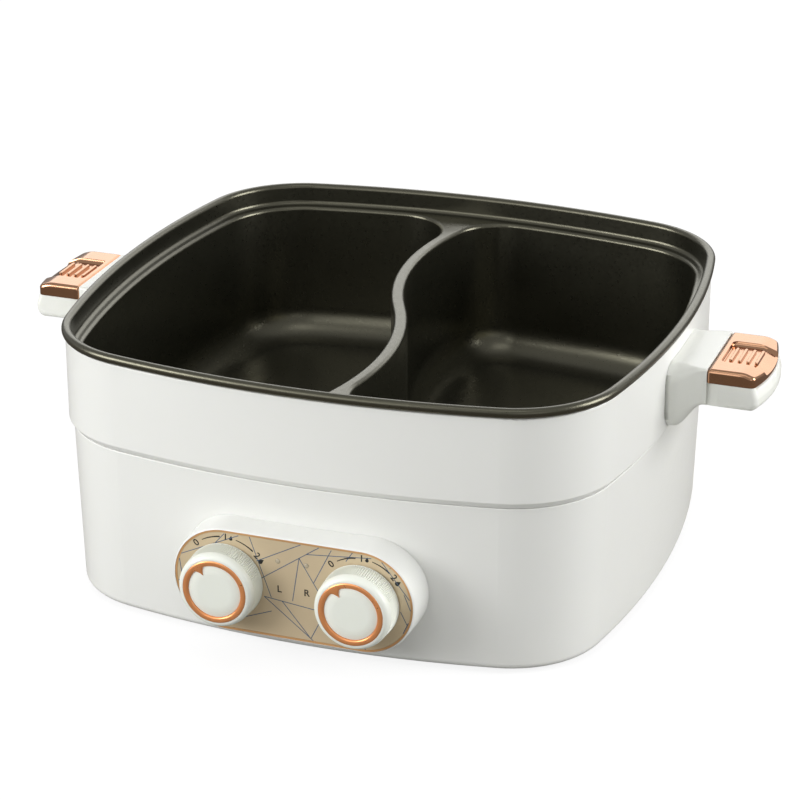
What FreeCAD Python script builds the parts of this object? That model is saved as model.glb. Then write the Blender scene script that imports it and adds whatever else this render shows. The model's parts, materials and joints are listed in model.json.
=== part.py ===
import FreeCAD, Part
import math
import os

os.makedirs("parts", exist_ok=True)
V = FreeCAD.Vector
UP = V(0, 0, 1)

# A two-flavour electric hot pot. The pot, its skirt and its handles lift off the heating base.
# X runs to the right, -Y is the front with the dials, Z is up. The origin lies on the table,
# under the middle of the body. All sizes are in millimetres.

# ---- body outline: four wide side arcs joined by four corner arcs ----
body_half_width = 165.0
body_half_depth = 162.0
side_radius = 550.0
corner_radius = 60.0

# ---- heights above the table ----
base_bottom = 2.0          # underside of the base shell, clear of the table
base_top = 97.2            # parting line, top edge of the base shell
skirt_gap = 0.4            # seam between base shell and pot skirt
skirt_bevel_height = 3.5   # bevel at the foot of the skirt
skirt_top = 148.4
rim_rise = 5.6             # top of the rolled edge above the skirt
well_brim_drop = 12.7      # a lid's seat round the wells and top of the divider, below the rolled edge
well_floor_height = 57.0

# ---- walls and clearances ----
seat_gap = 0.3             # between pieces of different bodies that rest on each other
fit_gap = 0.1              # between pieces that are fixed against each other
running_gap = 0.05         # radial clearance of a turning shaft in its bush
base_wall = 2.1
base_top_inset = 2.6       # the base shell stands back from the skirt
base_bottom_inset = 5.2    # and draws in a little more towards the table
base_foot_round = 4.0
skirt_wall = 2.0
skirt_bevel_inner = 0.8    # the skirt's inside bevel starts this much higher
pot_wall = 2.0
pot_floor = 3.0
edge_break = 0.3           # smallest rounded edge
overlap = 0.5              # depth by which joined forms run into each other
cut_through = 1.0          # distance by which a cutting form stands clear of a face

# ---- pot rim and wells ----
bead_size = 5.4            # rolled edge of the pot
bead_overhang = 1.9        # how far it stands proud of the skirt
bead_tightness = 0.05      # the rolled edge's radius is this much under half its size
rim_draft = 0.3            # lean of the wall inside the rim
rim_cove = 2.7             # hollow round at the foot of that wall
rim_root = 4.0             # the rim profile runs this far down the pot wall
rim_under_drop = 0.8       # the rim's outside turns in this far below the brim
rim_turn_inset = 5.6       # and meets the pot wall from here
rim_turn_lift = 1.0
well_inset = 9.5           # outer walls of both wells
well_corner_radius = 30.0  # plan radius where the divider meets the outer wall
well_floor_round = 19.0
pot_floor_round = 21.5
brim_round = 2.3
divider_thickness = 7.6
divider_bulge = 18.0       # sideways swing of the S-shaped divider
divider_reach = 80.0       # distance of each swing from the middle

# ---- handles ----
handle_half_width = 30.0
handle_neck_length = 20.4  # from the skirt to the copper cap
handle_length = 46.0       # from the skirt to the corners of the cap
handle_crown = 4.6         # bulge of the outer edge in plan
handle_bulge = 2.0         # the white nose stands this much beyond the cap
handle_drop = 9.4          # from the top edge of the skirt to the top of the handles
handle_height = 21.5
handle_cap_height = 7.8
cap_level = 20.0           # the cap's top stays level for this length
cap_fall = 3.6             # and then falls this much towards the nose
cap_fall_round = 14.0
handle_round = 3.0
cap_edge_round = 2.4
handle_top_round = 1.5
handle_nose_round = 5.0
handle_corner_round = 3.5
cap_inner_round = 1.4      # upright corners of the cap nearest the skirt
handle_root_start = 2.0    # the root keeps its full section this far from the skirt
handle_root_end = 19.0
handle_root_spread = 3.5   # growth of the root section on each side
handle_root_foot = 3.9     # its lowest point stands this much above the skirt's lower edge
handle_root_round = 8.5    # growth of its corner radii
handle_root_steps = 6
thumb_rest_half_width = 16.0
thumb_rest_setback = 4.0   # from the inner edge of the cap
thumb_rest_depth = 2.4
thumb_rest_length = 18.0   # level part, beyond it the floor falls away
thumb_rest_fall = 4.0
thumb_rest_round = 3.0     # corners of the rest, seen from above
thumb_rib_start = 3.2
thumb_rib_count = 4
thumb_rib_pitch = 4.7
thumb_rib_width = 1.8
thumb_rib_height = 1.4
thumb_rib_half_length = 9.4
thumb_rib_end_round = 0.8
thumb_rib_top_round = 0.5
handle_screw_spacing = 36.0
handle_screw_rise = 6.5    # above the underside of the handles
handle_screw_length = 13.0
handle_hole_start = 5.0    # the screw holes begin this far inside the skirt line
handle_hole_end = 12.0
bracket_thickness = 1.5
bracket_half_height = 9.0
bracket_end = 8.0          # from a screw to the end of the bracket

# ---- control panel ----
panel_x = 3.0              # middle of the panel
dial_height = 44.5
dial_half_spacing = 38.0
panel_stand = 12.0         # the printed face stands this far in front of the body
bezel_lip = 0.4            # the bezel stands this much in front of the printed face
bezel_lip_width = 0.9
bezel_flare = 0.5          # growth of the bezel from its front to the wall
bezel_wall = 2.4
bezel_edge_round = 1.5
bezel_root = 20.0          # the bezel's form starts this far behind the front of the body
dial_hole_gap = 0.5
bracket_post_setback = 20.0  # from a dial towards the middle of the panel
bracket_post_radius = 2.5
panel_radius = 28.8        # outer radius of the copper border
border_width = 1.1
panel_plate = 1.2
control_window_radius = 24.0

# ---- knobs ----
knob_gap = 0.5
knob_depth = 14.7
knob_radius = 21.6
knob_front_radius = 20.8
knob_edge_round = 2.4
knob_skirt_wall = 3.0
knob_face_plate = 3.2
knob_hub_radius = 6.5
knob_ring_outer = 18.0
knob_ring_inner = 14.7
knob_ring_height = 1.6
knob_ring_proud = 0.5
knob_face_sink = 0.5
pointer_angle = 35.0       # from straight up, towards the left, with the knob at off
pointer_tip_radius = 10.5
pointer_half_angle = 12.0
pointer_root = 0.6         # the pointer runs this far into the ring
shaft_radius = 3.0
shaft_hub_depth = 9.0

# ---- thermostats and their bracket ----
control_bracket_radius = 14.0
control_bracket_setback = 6.0    # front of the bracket behind the printed face
control_bracket_plate = 1.2
thermostat_width = 27.0
thermostat_height = 17.0
thermostat_depth = 20.0
thermostat_tab_offset = 8.0
thermostat_tab_height = 4.0   # above the dial axis
thermostat_tab_length = 6.0
thermostat_tab_half_width = 3.0
thermostat_tab_plate = 0.8
thermostat_round = 2.0
shaft_depth = 10.0         # length of the shaft inside the thermostat
neck_radius = 4.5
neck_length = 4.6
nut_across_flats = 13.0
nut_thickness = 2.0

# ---- indicator lamps ----
lamp_half_spacing = 8.0
lamp_height = 60.3
lamp_radius = 1.3
lamp_board_width = 34.0
lamp_board_height = 7.0
lamp_board_plate = 1.2
lamp_board_setback = 7.6
lamp_board_edge = 1.8      # from the lamp axis to the lower edge of the board
lamp_chip_radius = 1.5
lamp_chip_height = 1.5
lamp_chip_gap = 0.2        # between lens and lamp chip
lamp_post_edge = 3.0
lamp_post_radius = 1.8

# ---- heating ----
heater_radius = 52.0
heater_thickness = 6.0
heater_chamfer = 0.6
tube_ring_radius = 40.0
tube_radius = 3.3
tube_sink = 1.0            # tube centre above the underside of the plate
tube_gap_angle = 52.0      # opening of the heating ring
tube_bend = 7.0
tube_pin_radius = 1.2
tube_pin_bottom = 30.0
tube_foot = 3.0            # the tube ends this far below the shield
deck_plate = 0.8
deck_inset = 5.5           # outer side of the pressed deck
deck_pot_gap = 1.6         # between deck and pot floor
deck_flange_inset = 3.7    # the deck hangs by this flange in a rebate of the base shell
deck_window_gap = 1.0
deck_floor_seam = 20.0     # the rim form runs this far over the level floor
shield_plate = 1.0
shield_height = 38.0
shield_half_width = 136.0
shield_front = 84.0
shield_back = 120.0
shield_corner = 20.0
shield_hole_gap = 1.0
spacer_radius = 3.5
spacer_circle = 48.0
spacer_count = 3
screw_radius = 1.5
screw_head_radius = 3.0
screw_head_height = 1.8
plate_screw_bite = 3.5
shield_screw_length = 11.0
limiter_radius = 8.0
limiter_height = 9.0
limiter_can_height = 4.0
limiter_tab_offset = 4.0
limiter_tab_half_width = 3.0
limiter_tab_plate = 0.8
limiter_tab_length = 6.0
bulb_radius = 1.9
bulb_half_length = 18.0
bulb_offset = 22.0
capillary_radius = 0.8
capillary_lead = 14.0      # straight run in front of the bulb
capillary_slant = 40.0
capillary_drop = 8.0       # lowest run below the shield
capillary_bend = 4.0
capillary_hole_radius = 3.0

# ---- underside ----
flange_width = 16.0
flange_thickness = 2.5
cover_thickness = 2.5
foot_radius = 10.0
foot_corner_inset = 50.0   # from the sides of the body to the middle of a foot
foot_stem_radius = 2.5
foot_barb_rim = 1.0
foot_barb_height = 2.0
foot_edge_round = 1.0
cover_screw_inset = 14.0
cover_boss_radius = 4.0
cover_boss_height = 9.0
cover_screw_length = 10.0
vent_count = 6
vent_pitch = 8.0
vent_width = 3.0
vent_round = 1.49
vent_half_length = 22.0
shield_boss_radius = 5.0
shield_boss_x = 122.0
shield_boss_front = 70.0
shield_boss_back = 106.0
shield_boss_bore = 12.0

# ---- power inlet at the back ----
inlet_height = 27.0
inlet_half_width = 15.0
inlet_half_height = 11.0
inlet_corner = 4.0
inlet_depth = 24.0
inlet_wall = 2.0
inlet_back_wall = 3.0
inlet_flange = 5.0
inlet_flange_plate = 2.0
pin_half_spacing = 7.0
pin_offset = 2.0           # the middle pin stands above, the outer ones below
pin_width = 4.0
pin_thickness = 2.0
pin_length = 13.0
pin_tail = 7.0
block_half_width = 27.0
block_depth = 16.0
block_height = 13.0
block_y = 72.0
block_poles = 5
block_pitch = 10.0
block_screw_radius = 2.6
block_screw_bottom = 6.0
block_bore_radius = 1.8
block_bore_height = 4.5    # both above the underside of the block
wire_radius = 1.3
wire_grip = 3.0            # length of a wire end inside the block
inlet_wire_start = 12.0
inlet_wire_end = 16.0
inlet_wire_bend = 5.0
heater_wire_start = 14.0
heater_wire_slant = 50.0
heater_wire_rise = 4.0
heater_wire_bend = 6.0
control_wire_height = 6.0  # above the bottom cover
control_wire_back = 16.0
control_wire_bend = 5.0
tab_grip = 4.0             # a wire runs this far onto its thermostat tab


# ---------------------------------------------------------------- helpers

def save(shape, name):
    shape.exportStep("parts/" + name + ".step")
    print(name, len(shape.Solids), round(shape.Volume))


def circle_crossing(c1, r1, c2, r2, hint):
    """The crossing of two circles that lies nearer to the hint."""
    gap = c2 - c1
    along = (r1 * r1 - r2 * r2 + gap.Length ** 2) / (2 * gap.Length)
    height = math.sqrt(r1 * r1 - along * along)
    way = V(gap).normalize()
    foot = c1 + way * along
    side = V(-way.y, way.x, 0) * height
    options = [foot + side, foot - side]
    return min(options, key=lambda p: (p - hint).Length)


def arc_edge(center, start, end):
    """The shorter arc about a centre from one point to another."""
    middle = (start + end) * 0.5
    way = V(middle - center).normalize()
    radius = (start - center).Length
    return Part.Arc(start, center + way * radius, end).toShape()


def outline_arcs():
    """The eight arcs of the body outline: centre, radius, start angle and end angle."""
    right = V(body_half_width - side_radius, 0, 0)
    back = V(0, body_half_depth - side_radius, 0)
    reach = side_radius - corner_radius
    corner = circle_crossing(right, reach, back, reach, V(body_half_width, body_half_depth, 0))
    low = math.atan2(corner.y, corner.x - right.x)
    high = math.atan2(corner.y - back.y, corner.x)
    half = math.pi
    return [
        (right, side_radius, -low, low),
        (corner, corner_radius, low, high),
        (back, side_radius, high, half - high),
        (V(-corner.x, corner.y, 0), corner_radius, half - high, half - low),
        (V(-right.x, 0, 0), side_radius, half - low, half + low),
        (V(-corner.x, -corner.y, 0), corner_radius, half + low, half + high),
        (V(0, -back.y, 0), side_radius, half + high, 2 * half - high),
        (V(corner.x, -corner.y, 0), corner_radius, 2 * half - high, 2 * half - low),
    ]


def outline_face(inset, height):
    """The body outline drawn in by an inset, as a flat face."""
    edges = []
    for center, radius, start, end in outline_arcs():
        points = []
        for angle in (start, (start + end) / 2, end):
            offset = V(math.cos(angle), math.sin(angle), 0) * (radius - inset)
            points.append(center + offset + UP * height)
        edges.append(Part.Arc(points[0], points[1], points[2]).toShape())
    return Part.Face(Part.Wire(edges))


def slab(inset, low, high):
    return outline_face(inset, low).extrude(UP * (high - low))


def rounded_wire(corners, origin, across, along):
    """A closed outline in a plane, each corner given as (across, along, radius)."""
    flat = [V(c[0], c[1], 0) for c in corners]
    starts = []
    ends = []
    middles = []
    for i, point in enumerate(flat):
        before = V(flat[i - 1] - point)
        after = V(flat[(i + 1) % len(flat)] - point)
        before.normalize()
        after.normalize()
        radius = corners[i][2]
        half = before.getAngle(after) / 2
        if radius == 0:
            starts.append(point)
            ends.append(point)
            middles.append(None)
            continue
        run = radius / math.tan(half)
        bisector = V(before + after).normalize()
        center = point + bisector * (radius / math.sin(half))
        starts.append(point + before * run)
        ends.append(point + after * run)
        middles.append(center - bisector * radius)

    def place(p):
        return origin + across * p.x + along * p.y

    edges = []
    for i in range(len(flat)):
        if middles[i] is not None:
            edges.append(Part.Arc(place(starts[i]), place(middles[i]), place(ends[i])).toShape())
        following = starts[(i + 1) % len(flat)]
        if (following - ends[i]).Length > 1e-6:
            edges.append(Part.makeLine(place(ends[i]), place(following)))
    return Part.Wire(edges)


def ring(corners):
    """A closed profile of (offset from the outline, height, radius) carried round the body."""
    pieces = []
    for center, radius, start, end in outline_arcs():
        across = V(math.cos(start), math.sin(start), 0)
        face = Part.Face(rounded_wire(corners, center + across * radius, across, UP))
        pieces.append(face.revolve(center, UP, math.degrees(end - start)))
    return pieces[0].fuse(pieces[1:]).removeSplitter()


def prism(corners, origin, across, along, depth):
    """A rounded outline drawn out by the vector depth."""
    return Part.Face(rounded_wire(corners, origin, across, along)).extrude(depth)


def box(low, high):
    size = high - low
    return Part.makeBox(size.x, size.y, size.z, low)


def rod(start, end, radius):
    return Part.makeCylinder(radius, (end - start).Length, start, end - start)


def turned(corners, x, z):
    """A profile of (radius, distance in front of the middle, corner radius) turned about a dial axis."""
    face = Part.Face(rounded_wire(corners, V(x, 0, z), V(1, 0, 0), V(0, -1, 0)))
    return face.revolve(V(x, 0, z), V(0, -1, 0), 360)


def stadium_face(radius, distance):
    """A dial-panel outline, a distance in front of the middle."""
    left = panel_x - dial_half_spacing
    right = panel_x + dial_half_spacing
    y = -distance
    top = dial_height + radius
    low = dial_height - radius
    edges = [
        Part.makeLine(V(left, y, low), V(right, y, low)),
        Part.Arc(V(right, y, low), V(right + radius, y, dial_height), V(right, y, top)).toShape(),
        Part.makeLine(V(right, y, top), V(left, y, top)),
        Part.Arc(V(left, y, top), V(left - radius, y, dial_height), V(left, y, low)).toShape(),
    ]
    return Part.Face(Part.Wire(edges))


def stadium(radius, front, back):
    return stadium_face(radius, front).extrude(V(0, front - back, 0))


def tapered_stadium(front_radius, back_radius, front, back):
    front_wire = stadium_face(front_radius, front).OuterWire
    back_wire = stadium_face(back_radius, back).OuterWire
    return Part.makeLoft([front_wire, back_wire], True, True)


def edges_at_height(shape, height):
    found = []
    for edge in shape.Edges:
        bounds = edge.BoundBox
        if abs(bounds.ZMin - height) < 1e-4 and abs(bounds.ZMax - height) < 1e-4:
            found.append(edge)
    return found


def tube(points, bend, radius):
    """A round tube along straight runs joined by bends."""
    edges = []
    start = points[0]
    for i in range(1, len(points) - 1):
        before = V(points[i - 1] - points[i]).normalize()
        after = V(points[i + 1] - points[i]).normalize()
        half = before.getAngle(after) / 2
        run = bend / math.tan(half)
        bisector = V(before + after).normalize()
        center = points[i] + bisector * (bend / math.sin(half))
        first = points[i] + before * run
        last = points[i] + after * run
        edges.append(Part.makeLine(start, first))
        edges.append(Part.Arc(first, center - bisector * bend, last).toShape())
        start = last
    edges.append(Part.makeLine(start, points[-1]))
    path = Part.Wire(edges)
    section = Part.Wire(Part.makeCircle(radius, points[0], points[1] - points[0]))
    return path.makePipeShell([section], True, False)


def joined(shapes):
    return shapes[0].fuse(shapes[1:]).removeSplitter()


def side_sign(side):
    return -1 if side == "left" else 1


def mirrored(shape):
    return shape.mirror(V(0, 0, 0), V(1, 0, 0))


# ---------------------------------------------------------------- derived places

rim_top = skirt_top + rim_rise
well_brim_height = rim_top - well_brim_drop
panel_front = body_half_depth + panel_stand
skirt_bottom = base_top + skirt_gap
handle_top = skirt_top - handle_drop
handle_bottom = handle_top - handle_height
handle_cap_bottom = handle_top - handle_cap_height
handle_screw_height = handle_bottom + handle_screw_rise
handle_root_drop = handle_bottom - skirt_bottom - handle_root_foot
pot_bottom = well_floor_height - pot_floor
pot_outer_inset = well_inset - pot_wall
bead_radius = bead_size / 2 - bead_tightness
bead_inner_inset = bead_size - bead_overhang
heater_x = (body_half_width - well_inset + divider_thickness / 2) / 2
heater_top = pot_bottom - seat_gap
heater_bottom = heater_top - heater_thickness
deck_top = pot_bottom - deck_pot_gap
deck_seat = base_top - deck_plate - 2 * fit_gap
flange_top = base_bottom + flange_thickness
cover_top = flange_top + cover_thickness
shield_top = shield_height + shield_plate
plate_seat = panel_front - panel_plate
bezel_front = panel_front + bezel_lip
bezel_back_face = plate_seat - bezel_wall
bracket_front = panel_front - control_bracket_setback
bracket_back = bracket_front - control_bracket_plate
knob_back = panel_front + knob_gap
knob_front = knob_back + knob_depth
skirt_side = body_half_width


def base_inset_at(height):
    """How far the base shell stands back from the skirt at a height."""
    share = (base_top - height) / (base_top - base_bottom)
    return base_top_inset + (base_bottom_inset - base_top_inset) * share


def base_envelope(extra):
    """The outer form of the base shell, grown by a clearance and open-ended above and below."""
    low = base_bottom - 10 * cut_through
    high = base_top + 10 * cut_through
    inner = corner_radius
    form = ring([
        (-inner, low, 0),
        (extra - base_inset_at(low), low, 0),
        (extra - base_inset_at(high), high, 0),
        (-inner, high, 0),
    ])
    return form.fuse(slab(inner - overlap, low, high)).removeSplitter()


# ---------------------------------------------------------------- pot

def well_face(height):
    """The left well: outer wall on three sides, the S-shaped divider on the fourth."""
    arc_radius = (divider_reach ** 2 + divider_bulge ** 2) / (2 * divider_bulge)
    swing = arc_radius - divider_bulge
    back_swing = V(swing, divider_reach, 0)
    front_swing = V(-swing, -divider_reach, 0)
    back_radius = arc_radius + divider_thickness / 2
    front_radius = arc_radius - divider_thickness / 2
    wall_radius = side_radius - well_inset
    back_center = V(0, body_half_depth - side_radius, 0)
    front_center = V(0, side_radius - body_half_depth, 0)
    round_in = well_corner_radius

    back_round = circle_crossing(back_center, wall_radius - round_in, back_swing,
                                 back_radius + round_in, V(-40, body_half_depth, 0))
    front_round = circle_crossing(front_center, wall_radius - round_in, front_swing,
                                  front_radius - round_in, V(-10, -body_half_depth, 0))

    def toward(center, point, radius):
        return center + V(point - center).normalize() * radius

    back_on_wall = toward(back_center, back_round, wall_radius)
    back_on_divider = toward(back_swing, back_round, back_radius)
    middle = toward(back_swing, front_swing, back_radius)
    front_on_divider = toward(front_swing, front_round, front_radius)
    front_on_wall = toward(front_center, front_round, wall_radius)

    arcs = outline_arcs()
    corner_arc = arcs[3]
    left_arc = arcs[4]
    low_corner = arcs[5]

    def on_arc(arc, angle):
        return arc[0] + V(math.cos(angle), math.sin(angle), 0) * (arc[1] - well_inset)

    edges = [
        arc_edge(back_round, back_on_wall, back_on_divider),
        arc_edge(back_swing, back_on_divider, middle),
        arc_edge(front_swing, middle, front_on_divider),
        arc_edge(front_round, front_on_divider, front_on_wall),
        arc_edge(front_center, front_on_wall, on_arc(low_corner, low_corner[3])),
        arc_edge(low_corner[0], on_arc(low_corner, low_corner[3]), on_arc(left_arc, left_arc[3])),
        arc_edge(left_arc[0], on_arc(left_arc, left_arc[3]), on_arc(left_arc, left_arc[2])),
        arc_edge(corner_arc[0], on_arc(left_arc, left_arc[2]), on_arc(corner_arc, corner_arc[2])),
        arc_edge(back_center, on_arc(corner_arc, corner_arc[2]), back_on_wall),
    ]
    face = Part.Face(Part.Wire(Part.__sortEdges__(edges)))
    face.translate(UP * height)
    return face


def make_inner_pot():
    block = slab(pot_outer_inset, pot_bottom, well_brim_height)
    block = block.makeFillet(pot_floor_round, edges_at_height(block, pot_bottom))
    mid_wall = pot_outer_inset + pot_wall / 2
    rim = ring([
        (-mid_wall, well_brim_height - rim_root, 0),
        (-mid_wall, well_brim_height, 0),
        (-bead_inner_inset - rim_draft, well_brim_height, rim_cove),
        (-bead_inner_inset, rim_top, bead_radius),
        (bead_overhang, rim_top, bead_radius),
        (bead_overhang, rim_top - bead_size, bead_radius),
        (-skirt_wall - fit_gap, rim_top - bead_size, 0.2),
        (-skirt_wall - fit_gap, well_brim_height - rim_under_drop, 1.5),
        (-rim_turn_inset, well_brim_height - rim_root + rim_turn_lift, 1.0),
    ])
    pot = block.fuse(rim).removeSplitter()
    well = well_face(well_floor_height).extrude(UP * (rim_top - well_floor_height))
    well = well.makeFillet(well_floor_round, edges_at_height(well, well_floor_height))
    other = well.copy()
    other.rotate(V(0, 0, 0), UP, 180)
    pot = pot.cut([well, other])
    brim = []
    for edge in edges_at_height(pot, well_brim_height):
        middle = edge.valueAt((edge.FirstParameter + edge.LastParameter) / 2)
        for hollow in (well, other):
            if hollow.distToShape(Part.Vertex(middle))[0] < 1e-3:
                brim.append(edge)
    return pot.makeFillet(brim_round, brim)


def make_skirt():
    skirt = ring([
        (0, skirt_top, 0.9),
        (0, skirt_bottom + skirt_bevel_height, 1.0),
        (-base_top_inset, skirt_bottom, edge_break),
        (-base_top_inset - skirt_wall, skirt_bottom, 0),
        (-skirt_wall, skirt_bottom + skirt_bevel_height + skirt_bevel_inner, 0),
        (-skirt_wall, skirt_top, 0.4),
    ])
    holes = []
    for center in handle_screw_places():
        inward = V(-1, 0, 0) if center.x > 0 else V(1, 0, 0)
        reach = inward * skirt_wall * 5
        holes.append(rod(center - reach, center + reach, screw_radius + fit_gap))
    return skirt.cut(holes)


# ---------------------------------------------------------------- handles

def handle_screw_places():
    places = []
    for sign in (-1, 1):
        for half in (-handle_screw_spacing / 2, handle_screw_spacing / 2):
            places.append(V(sign * skirt_side, half, handle_screw_height))
    return places


def skirt_envelope(extra):
    """The outer form of the skirt, grown by a clearance."""
    return slab(-extra, skirt_bottom - 10, skirt_top + 10)


def crown_center():
    """Middle of the arc that the outer edge of the right handle follows in plan."""
    radius = (handle_half_width ** 2 + handle_crown ** 2) / (2 * handle_crown)
    return V(skirt_side + handle_length + handle_crown - radius, 0, 0), radius


def handle_section(distance, flare):
    """Section of the right handle at a distance from the skirt; flare runs from 0 to 1."""
    half = handle_half_width + handle_root_spread * flare
    low = handle_bottom - handle_root_drop * flare
    low_round = handle_round + handle_root_round * flare
    top_round = handle_top_round + handle_root_round * flare
    return rounded_wire([
        (-half, low, low_round),
        (half, low, low_round),
        (half, handle_top, top_round),
        (-half, handle_top, top_round),
    ], V(skirt_side + distance, 0, 0), V(0, 1, 0), UP)


def handle_root():
    """The root of the right handle, swelling smoothly towards the skirt."""
    sections = []
    run = handle_root_end - handle_root_start
    for i in range(handle_root_steps + 1):
        share = i / handle_root_steps
        flare = (1 + math.cos(math.pi * share)) / 2
        sections.append(handle_section(handle_root_start + run * share, flare))
    swell = Part.makeLoft(sections, True, False)
    at_skirt = Part.Face(sections[0]).extrude(V(-handle_root_start - handle_hole_start, 0, 0))
    neck = Part.Face(sections[-1]).extrude(V(handle_neck_length - handle_root_end, 0, 0))
    return at_skirt.fuse([swell, neck])


def handle_grip():
    """The grip of the right handle under the cap, with a rounded nose."""
    center, radius = crown_center()
    nose = radius + handle_bulge
    middle = (handle_bottom + handle_cap_bottom) / 2
    profile = Part.Face(rounded_wire([
        (0, handle_bottom, 0),
        (nose, handle_bottom, handle_nose_round),
        (nose, middle + 1, handle_nose_round),
        (radius + 0.2, handle_cap_bottom, 0),
        (0, handle_cap_bottom, 0),
    ], center, V(1, 0, 0), UP))
    spread = math.degrees(math.asin(handle_half_width / radius)) + 4
    turned_nose = profile.revolve(center, UP, spread)
    turned_nose = turned_nose.fuse(profile.revolve(center, UP, -spread)).removeSplitter()
    bar = Part.Face(handle_section(handle_neck_length, 0)).extrude(V(handle_length, 0, 0))
    grip = bar.common(turned_nose)
    corners = []
    for edge in grip.Edges:
        bounds = edge.BoundBox
        at_nose = bounds.XMin > skirt_side + handle_length - 4
        at_side = bounds.YMin * bounds.YMax > 0 and abs(bounds.Center.y) > handle_half_width - 3
        upright = bounds.ZLength > 2
        if at_nose and at_side and upright:
            corners.append(edge)
    return grip.makeFillet(handle_corner_round, corners)


def make_handle():
    form = handle_root().fuse(handle_grip()).removeSplitter()
    cuts = [skirt_envelope(fit_gap)]
    for center in handle_screw_places():
        if center.x > 0:
            start = center - V(handle_hole_start, 0, 0)
            cuts.append(rod(start, center + V(handle_hole_end, 0, 0), screw_radius + running_gap))
    return form.cut(cuts)


def cap_block():
    """The copper cap before its thumb rest is cut, with all its outer edges rounded."""
    inner = skirt_side + handle_neck_length + fit_gap
    corner = skirt_side + handle_length
    far = corner + handle_crown
    half = handle_half_width
    z = handle_cap_bottom + fit_gap
    above = handle_top + 5 * cut_through
    edges = [
        Part.makeLine(V(inner, half, z), V(corner, half, z)),
        Part.Arc(V(corner, half, z), V(far, 0, z), V(corner, -half, z)).toShape(),
        Part.makeLine(V(corner, -half, z), V(inner, -half, z)),
        Part.makeLine(V(inner, -half, z), V(inner, half, z)),
    ]
    form = Part.Face(Part.Wire(edges)).extrude(UP * (handle_top - z))
    form = form.cut(prism([
        (inner, above, 0),
        (inner, handle_top, 0),
        (inner + cap_level, handle_top, cap_fall_round),
        (far, handle_top - cap_fall, 0),
        (far, above, 0),
    ], V(0, -2 * half, 0), V(1, 0, 0), UP, V(0, 4 * half, 0)))
    uprights = [e for e in form.Edges if e.BoundBox.ZLength > 5 and e.BoundBox.XMin > corner - 1]
    form = form.makeFillet(handle_corner_round, uprights)
    uprights = [e for e in form.Edges if e.BoundBox.ZLength > 5 and e.BoundBox.XMax < inner + 0.1]
    form = form.makeFillet(cap_inner_round, uprights)
    top_edges = []
    for edge in form.Edges:
        bounds = edge.BoundBox
        on_top = bounds.ZMin > handle_top - cap_fall - 0.5
        at_inner = bounds.XMax < inner + 0.1
        if on_top and not at_inner:
            top_edges.append(edge)
    return form.makeFillet(cap_edge_round, top_edges)


def make_handle_cap():
    start = skirt_side + handle_neck_length + thumb_rest_setback
    level_end = start + thumb_rest_length
    far = level_end + thumb_rest_length
    floor = handle_top - thumb_rest_depth
    above = handle_top + 5 * cut_through
    hollow = prism([
        (start, floor, 0.6),
        (level_end, floor, 6.0),
        (far, floor - thumb_rest_fall * 2, 0),
        (far, above, 0),
        (start, above, 0),
    ], V(0, -thumb_rest_half_width, 0), V(1, 0, 0), UP, V(0, 2 * thumb_rest_half_width, 0))
    corners = [e for e in hollow.Edges if e.BoundBox.XMax < start + 0.1 and e.BoundBox.ZLength > 1]
    hollow = hollow.makeFillet(thumb_rest_round, corners)
    form = cap_block().cut(hollow)
    ribs = []
    for i in range(thumb_rib_count):
        x = start + thumb_rib_start + i * thumb_rib_pitch
        rib = box(V(x, -thumb_rib_half_length, floor - 1.5),
                  V(x + thumb_rib_width, thumb_rib_half_length, floor + thumb_rib_height))
        ends = [e for e in rib.Edges if e.BoundBox.ZLength > 1]
        rib = rib.makeFillet(thumb_rib_end_round, ends)
        rib = rib.makeFillet(thumb_rib_top_round, edges_at_height(rib, floor + thumb_rib_height))
        ribs.append(rib)
    return form.fuse(ribs).removeSplitter()


def make_handle_bracket():
    """A steel plate that backs the right handle inside the skirt."""
    inset = skirt_wall + fit_gap
    half_y = handle_screw_spacing / 2 + bracket_end
    low = handle_screw_height - bracket_half_height
    stock = slab(inset, low, low + 2 * bracket_half_height)
    stock = stock.cut(slab(inset + bracket_thickness, skirt_bottom, skirt_top))
    window = box(V(0, -half_y, skirt_bottom), V(skirt_side + bracket_end, half_y, skirt_top))
    plate = stock.common(window)
    holes = []
    for center in handle_screw_places():
        if center.x > 0:
            holes.append(rod(center - V(handle_hole_end, 0, 0), center, screw_radius + fit_gap))
    return plate.cut(holes)


def make_handle_screws():
    screws = []
    head_inset = skirt_wall + bracket_thickness + 2 * fit_gap
    for center in handle_screw_places():
        inward = V(-1, 0, 0) if center.x > 0 else V(1, 0, 0)
        sag = center.y ** 2 / (2 * side_radius)
        seat = center + inward * (head_inset + sag + fit_gap)
        head = rod(seat, seat + inward * screw_head_height, screw_head_radius)
        shank = rod(seat, seat - inward * handle_screw_length, screw_radius)
        screws.append(head.fuse(shank).removeSplitter())
    return Part.makeCompound(screws)


# ---------------------------------------------------------------- base shell and underside

def corner_places(inset):
    """Four places near the corners, an inset from the sides."""
    x = body_half_width - inset
    y = body_half_depth - inset
    return {
        "front_left": V(-x, -y, 0),
        "front_right": V(x, -y, 0),
        "back_left": V(-x, y, 0),
        "back_right": V(x, y, 0),
    }


def cover_screw_places():
    """Screws through the bottom flange: the middle of each side and each corner."""
    places = []
    for center, radius, start, end in outline_arcs():
        angle = (start + end) / 2
        reach = radius - base_bottom_inset - cover_screw_inset
        places.append(center + V(math.cos(angle), math.sin(angle), 0) * reach)
    return places


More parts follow.
